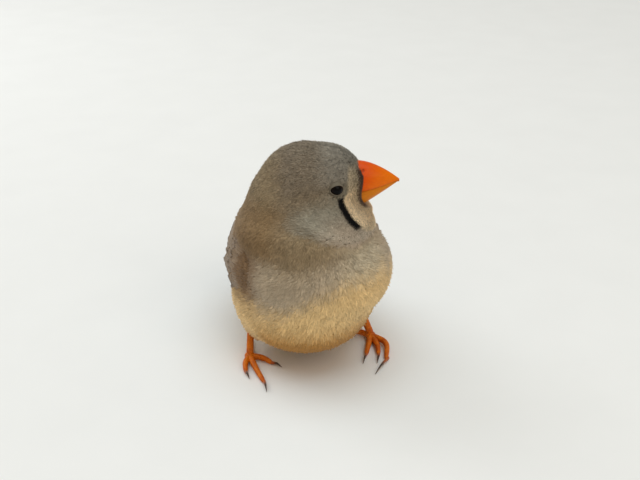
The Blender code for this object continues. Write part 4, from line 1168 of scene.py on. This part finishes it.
def bill_paint(name, root, tip):
    """Waxy horn: one colour at the base that turns to another toward tip and cutting edge, with faint growth lines."""
    material, wire, shader = new_material(name, 0.3)
    shader.inputs["Specular IOR Level"].default_value = 0.14
    ahead, left, up = attribute(wire, "head_place", "Vector").parts()
    place = attribute(wire, "head_place", "Vector")
    streaks = place.node("ShaderNodeMapping", None, {"Vector": place, "Scale": (0.35, 1.6, 1.6)}).noise(0.6, 3.0)
    clouds = place.noise(2.5, 2.0)
    colour = wire.node("ShaderNodeRGB")
    colour.socket.default_value = (*root, 1.0)
    colour = colour.to(tip, (ahead * 0.11 - up * 0.07 + clouds * 0.35).ease(1.1, 2.0))
    pit = wire.maths("SQRT", (ahead - float(NOSTRIL_AT[0])) ** 2 + (up - float(NOSTRIL_AT[2])) ** 2)
    colour = colour.to(linear(120, 36, 8), pit.ease(0.5, 0.22) * 0.5)
    feed(colour.shaded(streaks * 0.22 + 0.89), shader, "Base Color")
    feed(streaks * 0.25 + 0.2, shader, "Roughness")
    feed(wire.node("ShaderNodeBump", None, {"Height": streaks, "Strength": 0.35, "Distance": 0.00012}), shader, "Normal")
    return material


red_horn = bill_paint("bill_red_horn", linear(214, 76, 1), linear(224, 110, 2))
orange_horn = bill_paint("bill_orange_horn", linear(188, 106, 5), linear(208, 122, 6))
for upper, name, paint, slot_name in ((True, "upper_bill", red_horn, "bill_red"),
                                      (False, "lower_bill", orange_horn, "bill_orange")):
    rings = bill_half(upper)
    points, faces = closed_loft(rings)
    faces = [group[:, ::-1] for group in faces] if upper else faces
    half = make_piece(f"{name}_horn", in_head(points), faces, paint, None, {"head_place": points})
    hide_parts(name)

# %% [markdown]
# ## Eyes and lids
#
# The eye is a ball that bulges a little at the cornea, almost black and very glossy, set into the side
# of the head.  A thin bare lid rings it.  The lid is a ring of small beads: a tube carried round an
# ellipse on the ball, its radius rippled, and drawn out on its inner side until it meets the skin.

# %% Eyes
LID_THICK = 0.15
LID = linear(112, 104, 90)
eye_material, wire, shader = new_material("wet_eye", 0.05)
shader.inputs["Specular IOR Level"].default_value = 0.07
ring = attribute(wire, "tone", "Fac")
iris = wire.node("ShaderNodeRGB")
iris.socket.default_value = (*linear(8, 7, 7), 1.0)
iris = iris.to(linear(26, 15, 11), ring.ease(0.9, 0.84) * ring.ease(0.55, 0.66) * 0.5)
covered = attribute(wire, "lid", "Fac").ease(1.0, 1.12)
feed(iris.to(LID, covered), shader, "Base Color")
feed(ring.ease(0.2, 0.6) * -0.1 + 0.14 + covered * 0.5, shader, "Roughness")

lid_material, wire, shader = new_material("eye_lid", 0.7)
shader.inputs["Specular IOR Level"].default_value = 0.1
grain = wire.node("ShaderNodeTexCoord", output="Object").noise(0.0004, 2.0)
tint = wire.node("ShaderNodeRGB")
tint.socket.default_value = (*LID, 1.0)
feed(tint.shaded(grain * 0.5 + 0.7), shader, "Base Color")

for side, (middle, look) in EYES.items():
    across = unit(np.cross(look, UP))
    over = np.cross(across, look)
    polar, turn = np.meshgrid(np.pi * (np.arange(30) + 0.5) / 30, 2 * np.pi * np.arange(40) / 40, indexing="ij")
    radius = EYE_RADIUS + 0.16 * ease(np.cos(polar), 0.6, 1.0)
    rings = middle + radius[..., None] * (np.cos(polar)[..., None] * look + np.sin(polar)[..., None]
                                          * (np.cos(turn)[..., None] * across + np.sin(turn)[..., None] * over))
    points, faces = closed_loft(rings)
    facing = unit(points - middle) @ look
    ring_at = np.hypot((points - middle) @ across / LID_WIDE, (points - middle) @ over / LID_TALL)
    eye = make_piece(f"{side}_eyeball", points, [group[:, ::-1] for group in faces], eye_material, None,
                     {"tone": facing, "lid": ring_at})
    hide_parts(f"{side}_eye")
    angle = 2 * np.pi * np.arange(96) / 96
    section = 2 * np.pi * np.arange(14) / 14
    ring_out = unit(np.cos(angle)[:, None] * across / LID_WIDE + np.sin(angle)[:, None] * over / LID_TALL)
    round_ = LID_WIDE * np.cos(angle)[:, None] * across + LID_TALL * np.sin(angle)[:, None] * over
    rim = middle + round_ + look * np.sqrt((EYE_RADIUS + 0.03) ** 2 - (round_ ** 2).sum(1, keepdims=True))
    thick = LID_THICK * (1 + 0.09 * np.sin(26 * angle))[:, None, None]
    deep = np.where(np.sin(section) < 0, 3.4, 0.8)[None, :, None]
    lid_rings = rim[:, None] + thick * (np.cos(section)[None, :, None] * ring_out[:, None]
                                        + deep * np.sin(section)[None, :, None] * look)
    lid_points = lid_rings.reshape(-1, 3)
    cell = np.arange(96 * 14).reshape(96, 14)
    lid_faces = np.stack([cell, np.roll(cell, -1, 0), np.roll(np.roll(cell, -1, 0), -1, 1), np.roll(cell, -1, 1)],
                         -1).reshape(-1, 4)
    lid = make_piece(f"{side}_eye_lid", lid_points, lid_faces, lid_material)

# %% [markdown]
# ## Feet
#
# Legs and toes are bare and scaled.  Each toe is a tube along a smooth path.  Its radius swells at the
# pads below and steps at the scutes above, and its lowest side is pressed flat where it meets the
# floor.  A claw is the same tube, thin and tapered to a point.

# %% Legs, toes and claws
SOLE_UP = 1.05
CLAW_SIDES = 14
LEGS = {
    "right": dict(heel=(-14.8, 3.2, 11.0), sole=(-16.4, -0.8, SOLE_UP), toes=dict(
        inner=[(-13.4, -2.6, 1.0), (-11.6, -4.9, 0.52), (-9.6, -7.0, 0.2)],
        middle=[(-16.2, -7.0, 1.0), (-15.5, -12.6, 0.52), (-15.9, -16.2, 0.2)],
        outer=[(-18.2, -3.6, 1.0), (-18.9, -6.8, 0.52), (-18.6, -9.6, 0.2)],
        hind=[(-15.6, 2.6, 1.0), (-14.6, 5.4, 0.52), (-13.8, 9.0, 0.2)])),
    "left": dict(heel=(13.6, 3.6, 11.0), sole=(16.3, -0.4, SOLE_UP), toes=dict(
        inner=[(14.2, -4.6, 1.0), (12.3, -8.2, 0.52), (10.4, -11.4, 0.2)],
        middle=[(16.4, -5.2, 1.0), (15.4, -9.2, 0.52), (13.9, -12.2, 0.2)],
        outer=[(18.6, -5.6, 1.3), (16.6, -11.8, 0.52), (11.6, -16.8, 0.2)],
        hind=[(13.8, 2.6, 1.0), (11.8, 5.0, 0.52), (9.4, 8.6, 0.2)])),
}


def smooth_path(points, steps):
    """A Catmull-Rom curve through the points."""
    points = np.asarray(points, float)
    padded = np.concatenate([[2 * points[0] - points[1]], points, [2 * points[-1] - points[-2]]])
    t = (np.arange(steps) / steps)[:, None]
    a, b, c, d = (padded[i:len(padded) - 3 + i, None] for i in range(4))
    curve = 0.5 * (2 * b + (c - a) * t + (2 * a - 5 * b + 4 * c - d) * t ** 2 + (3 * b - a - 3 * c + d) * t ** 3)
    return np.concatenate([curve.reshape(-1, 3), points[-1:]])


def limb(path, radii, scute=0.0, blunt=0.4, sides=22, flat=1.0):
    """A closed tube: radius from root to tip, stepped above by scutes, swollen below by pads, flat on the floor."""
    run = np.concatenate([[0], np.cumsum(np.linalg.norm(np.diff(path, axis=0), axis=1))])
    along = run / run[-1]
    forward = unit(np.gradient(path, axis=0))
    side = unit(np.cross(forward, UP) + (1e-4, 0, 0))
    over = np.cross(side, forward)
    turn = 2 * np.pi * (np.arange(sides) + 0.5) / sides
    radius = np.interp(along, np.linspace(0, 1, len(radii)), radii) * np.sqrt(np.maximum(
        1 - np.clip((along - 1 + blunt * 0.2) / (blunt * 0.2 + 1e-6), 0, 1) ** 2, 0.02))
    step = (run / max(scute, 1e-6)) % 1.0
    ridges = (0.10 * (1 - step) ** 0.5 * (scute > 0))[:, None] * np.maximum(np.sin(turn), 0) ** 0.5
    pads = (0.12 * np.sin(np.pi * run / 2.3) ** 2 * (scute > 0))[:, None] * np.maximum(-np.sin(turn), 0)
    size = radius[:, None] * (1 + ridges - 0.05 * (scute > 0) + pads)
    rings = path[:, None] + size[..., None] * (flat * np.cos(turn)[None, :, None] * side[:, None]
                                               + np.sin(turn)[None, :, None] * over[:, None])
    rings[..., 2] = np.maximum(rings[..., 2], 0.0)
    return closed_loft(rings)


def joined(bodies):
    """Several bodies as one set of points and faces."""
    points, quads, fans, start = [], [], [], 0
    for body_points, (body_quads, body_fans) in bodies:
        points.append(body_points)
        quads.append(body_quads + start)
        fans.append(body_fans + start)
        start += len(body_points)
    return np.concatenate(points), [np.concatenate(quads)[:, ::-1], np.concatenate(fans)[:, ::-1]]


def ball(centre, half):
    """A closed ball of rings from pole to pole."""
    polar, turn = np.meshgrid(np.pi * (np.arange(14) + 0.5) / 14, 2 * np.pi * np.arange(24) / 24, indexing="ij")
    rings = np.asarray(centre) + np.asarray(half) * np.stack(
        [np.sin(polar) * np.cos(turn), np.sin(polar) * np.sin(turn), np.cos(polar)], -1)
    rings[..., 2] = np.maximum(rings[..., 2], 0.0)
    return closed_loft(rings)


foot_paint, wire, shader = new_material("scaled_foot_skin", 0.5)
shader.inputs["Specular IOR Level"].default_value = 0.25
place = wire.node("ShaderNodeTexCoord", output="Object")
cells = place.node("ShaderNodeTexVoronoi", {"feature": "DISTANCE_TO_EDGE"}, {"Vector": place, "Scale": 2400.0})
tint = wire.node("ShaderNodeRGB")
tint.socket.default_value = (*linear(222, 120, 16), 1.0)
tint = tint.to(linear(190, 86, 8), place.noise(0.0022, 3.0).ease(0.35, 0.7))
tint = tint.to(linear(128, 58, 14), cells.ease(0.12, 0.0) * 0.5)
feed(tint, shader, "Base Color")
feed(wire.node("ShaderNodeBump", None, {"Height": cells.ease(0.0, 0.2), "Strength": 0.4, "Distance": 0.0001}), shader, "Normal")

claw_paint, wire, shader = new_material("claw_horn", 0.35)
shine = wire.node("ShaderNodeTexCoord", output="Object").noise(0.0012, 2.0)
tint = flat_colour(wire, linear(176, 84, 18)).to(linear(70, 50, 40), attribute(wire, "tone", "Fac").ease(0.15, 0.5))
feed(tint.to(linear(36, 28, 26), shine.ease(0.3, 0.7) * attribute(wire, "tone", "Fac")), shader, "Base Color")

for side, leg in LEGS.items():
    heel, sole = np.array(leg["heel"]), np.array(leg["sole"])
    shank = smooth_path([heel, heel + 0.6 * (sole - heel), sole + (0, 0, 0.5)], 22)
    bodies, claws = [limb(shank, (1.05, 0.9, 0.95), 1.1), ball(sole, (1.35, 1.45, 1.15))], []
    for knuckle, end, tip in leg["toes"].values():
        end, tip = np.array(end), np.array(tip)
        bodies.append(limb(smooth_path([sole, knuckle, end + 0.06 * (tip - end)], 22), (0.88, 0.72, 0.55), 0.75, 1.0))
        crest = 0.5 * (end + tip) + (0, 0, 0.5)
        claw = smooth_path([end - 0.12 * (tip - end), crest, tip], 12)
        claws.append(limb(claw, (0.46, 0.34, 0.06), 0.0, 0.2, CLAW_SIDES, 0.75))
    foot_points, foot_faces = joined(bodies)
    foot = make_piece(f"{side}_foot_skin", foot_points, foot_faces, foot_paint)
    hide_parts(f"{side}_shank", *(f"{side}_{toe}_toe" for toe in leg["toes"]))
    claw_points, claw_faces = joined(claws)
    down_claw = np.concatenate([np.repeat(np.linspace(0, 1, len(claw)), CLAW_SIDES), (0.0, 1.0)])
    claw_piece = make_piece(f"{side}_claws", claw_points, claw_faces, claw_paint, None,
                            {"tone": np.tile(down_claw, len(claws))})
    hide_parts(*(f"{side}_{toe}_claw" for toe in leg["toes"]))

# %% [markdown]
# ## Floor, light and camera
#
# The bird sits on a plain pale floor in soft, slightly warm light.  The camera looks down at her as in
# the picture, from her right and front.

# %% Stage
floor_paint, wire, shader = new_material("pale_floor", 0.8)
tint = wire.node("ShaderNodeRGB")
tint.socket.default_value = (0.79, 0.79, 0.78, 1.0)
feed(tint.to((0.83, 0.83, 0.82), wire.node("ShaderNodeTexCoord", output="Object").noise(0.02, 3.0)), shader, "Base Color")
floor_mesh = bpy.data.meshes.new("floor")
floor_mesh.from_pydata([(-3, -3, 0), (3, -3, 0), (3, 3, 0), (-3, 3, 0)], [], [(0, 1, 2, 3)])
floor_mesh.materials.append(floor_paint)
floor = bpy.data.objects.new("floor", floor_mesh)
bpy.context.scene.collection.objects.link(floor)

world = bpy.data.worlds.new("studio")
bpy.context.scene.world = world
world.use_nodes = True
world.node_tree.nodes["Background"].inputs["Color"].default_value = (1.0, 0.79, 0.58, 1.0)
world.node_tree.nodes["Background"].inputs["Strength"].default_value = 0.5


def lamp(kind, name, at, power, colour, **shape):
    """A soft light that faces the bird: a square, or a sun as wide as an overcast sky."""
    light = bpy.data.lights.new(name, kind)
    light.energy, light.color = power, colour
    for key, value in shape.items():
        setattr(light, key, value)
    thing = bpy.data.objects.new(name, light)
    thing.location = at
    away = np.array(at) - np.array((0.0, -0.02, 0.03))
    thing.rotation_euler = (math.atan2(math.hypot(away[0], away[1]), away[2]), 0.0,
                            math.atan2(away[1], away[0]) + math.pi / 2)
    bpy.context.scene.collection.objects.link(thing)


lamp("SUN", "key", (0.0, -0.05, 0.70), 1.5, (0.62, 0.85, 1.0), angle=math.radians(60))
lamp("AREA", "front", (0.16, -0.50, 0.40), 0.8, (1.0, 0.97, 0.92), size=0.4)
lamp("AREA", "back", (-0.30, 0.38, 0.40), 1.1, (0.93, 0.97, 1.0), size=0.4)
bpy.context.scene.view_settings.view_transform = "Standard"

camera = bpy.data.cameras.new("camera")
camera.lens, camera.sensor_width = 54.0, 36.0
camera.clip_start = 0.01
camera_object = bpy.data.objects.new("camera", camera)
camera_object.location = tuple((np.array((-59.7, -203.4, 134.5)) + SLIDE) * MM)
camera_object.rotation_euler = (math.radians(64.0), 0.0, math.radians(-17.0))
bpy.context.scene.collection.objects.link(camera_object)
bpy.context.scene.camera = camera_object
print("camera at", np.round(camera_object.location, 4))
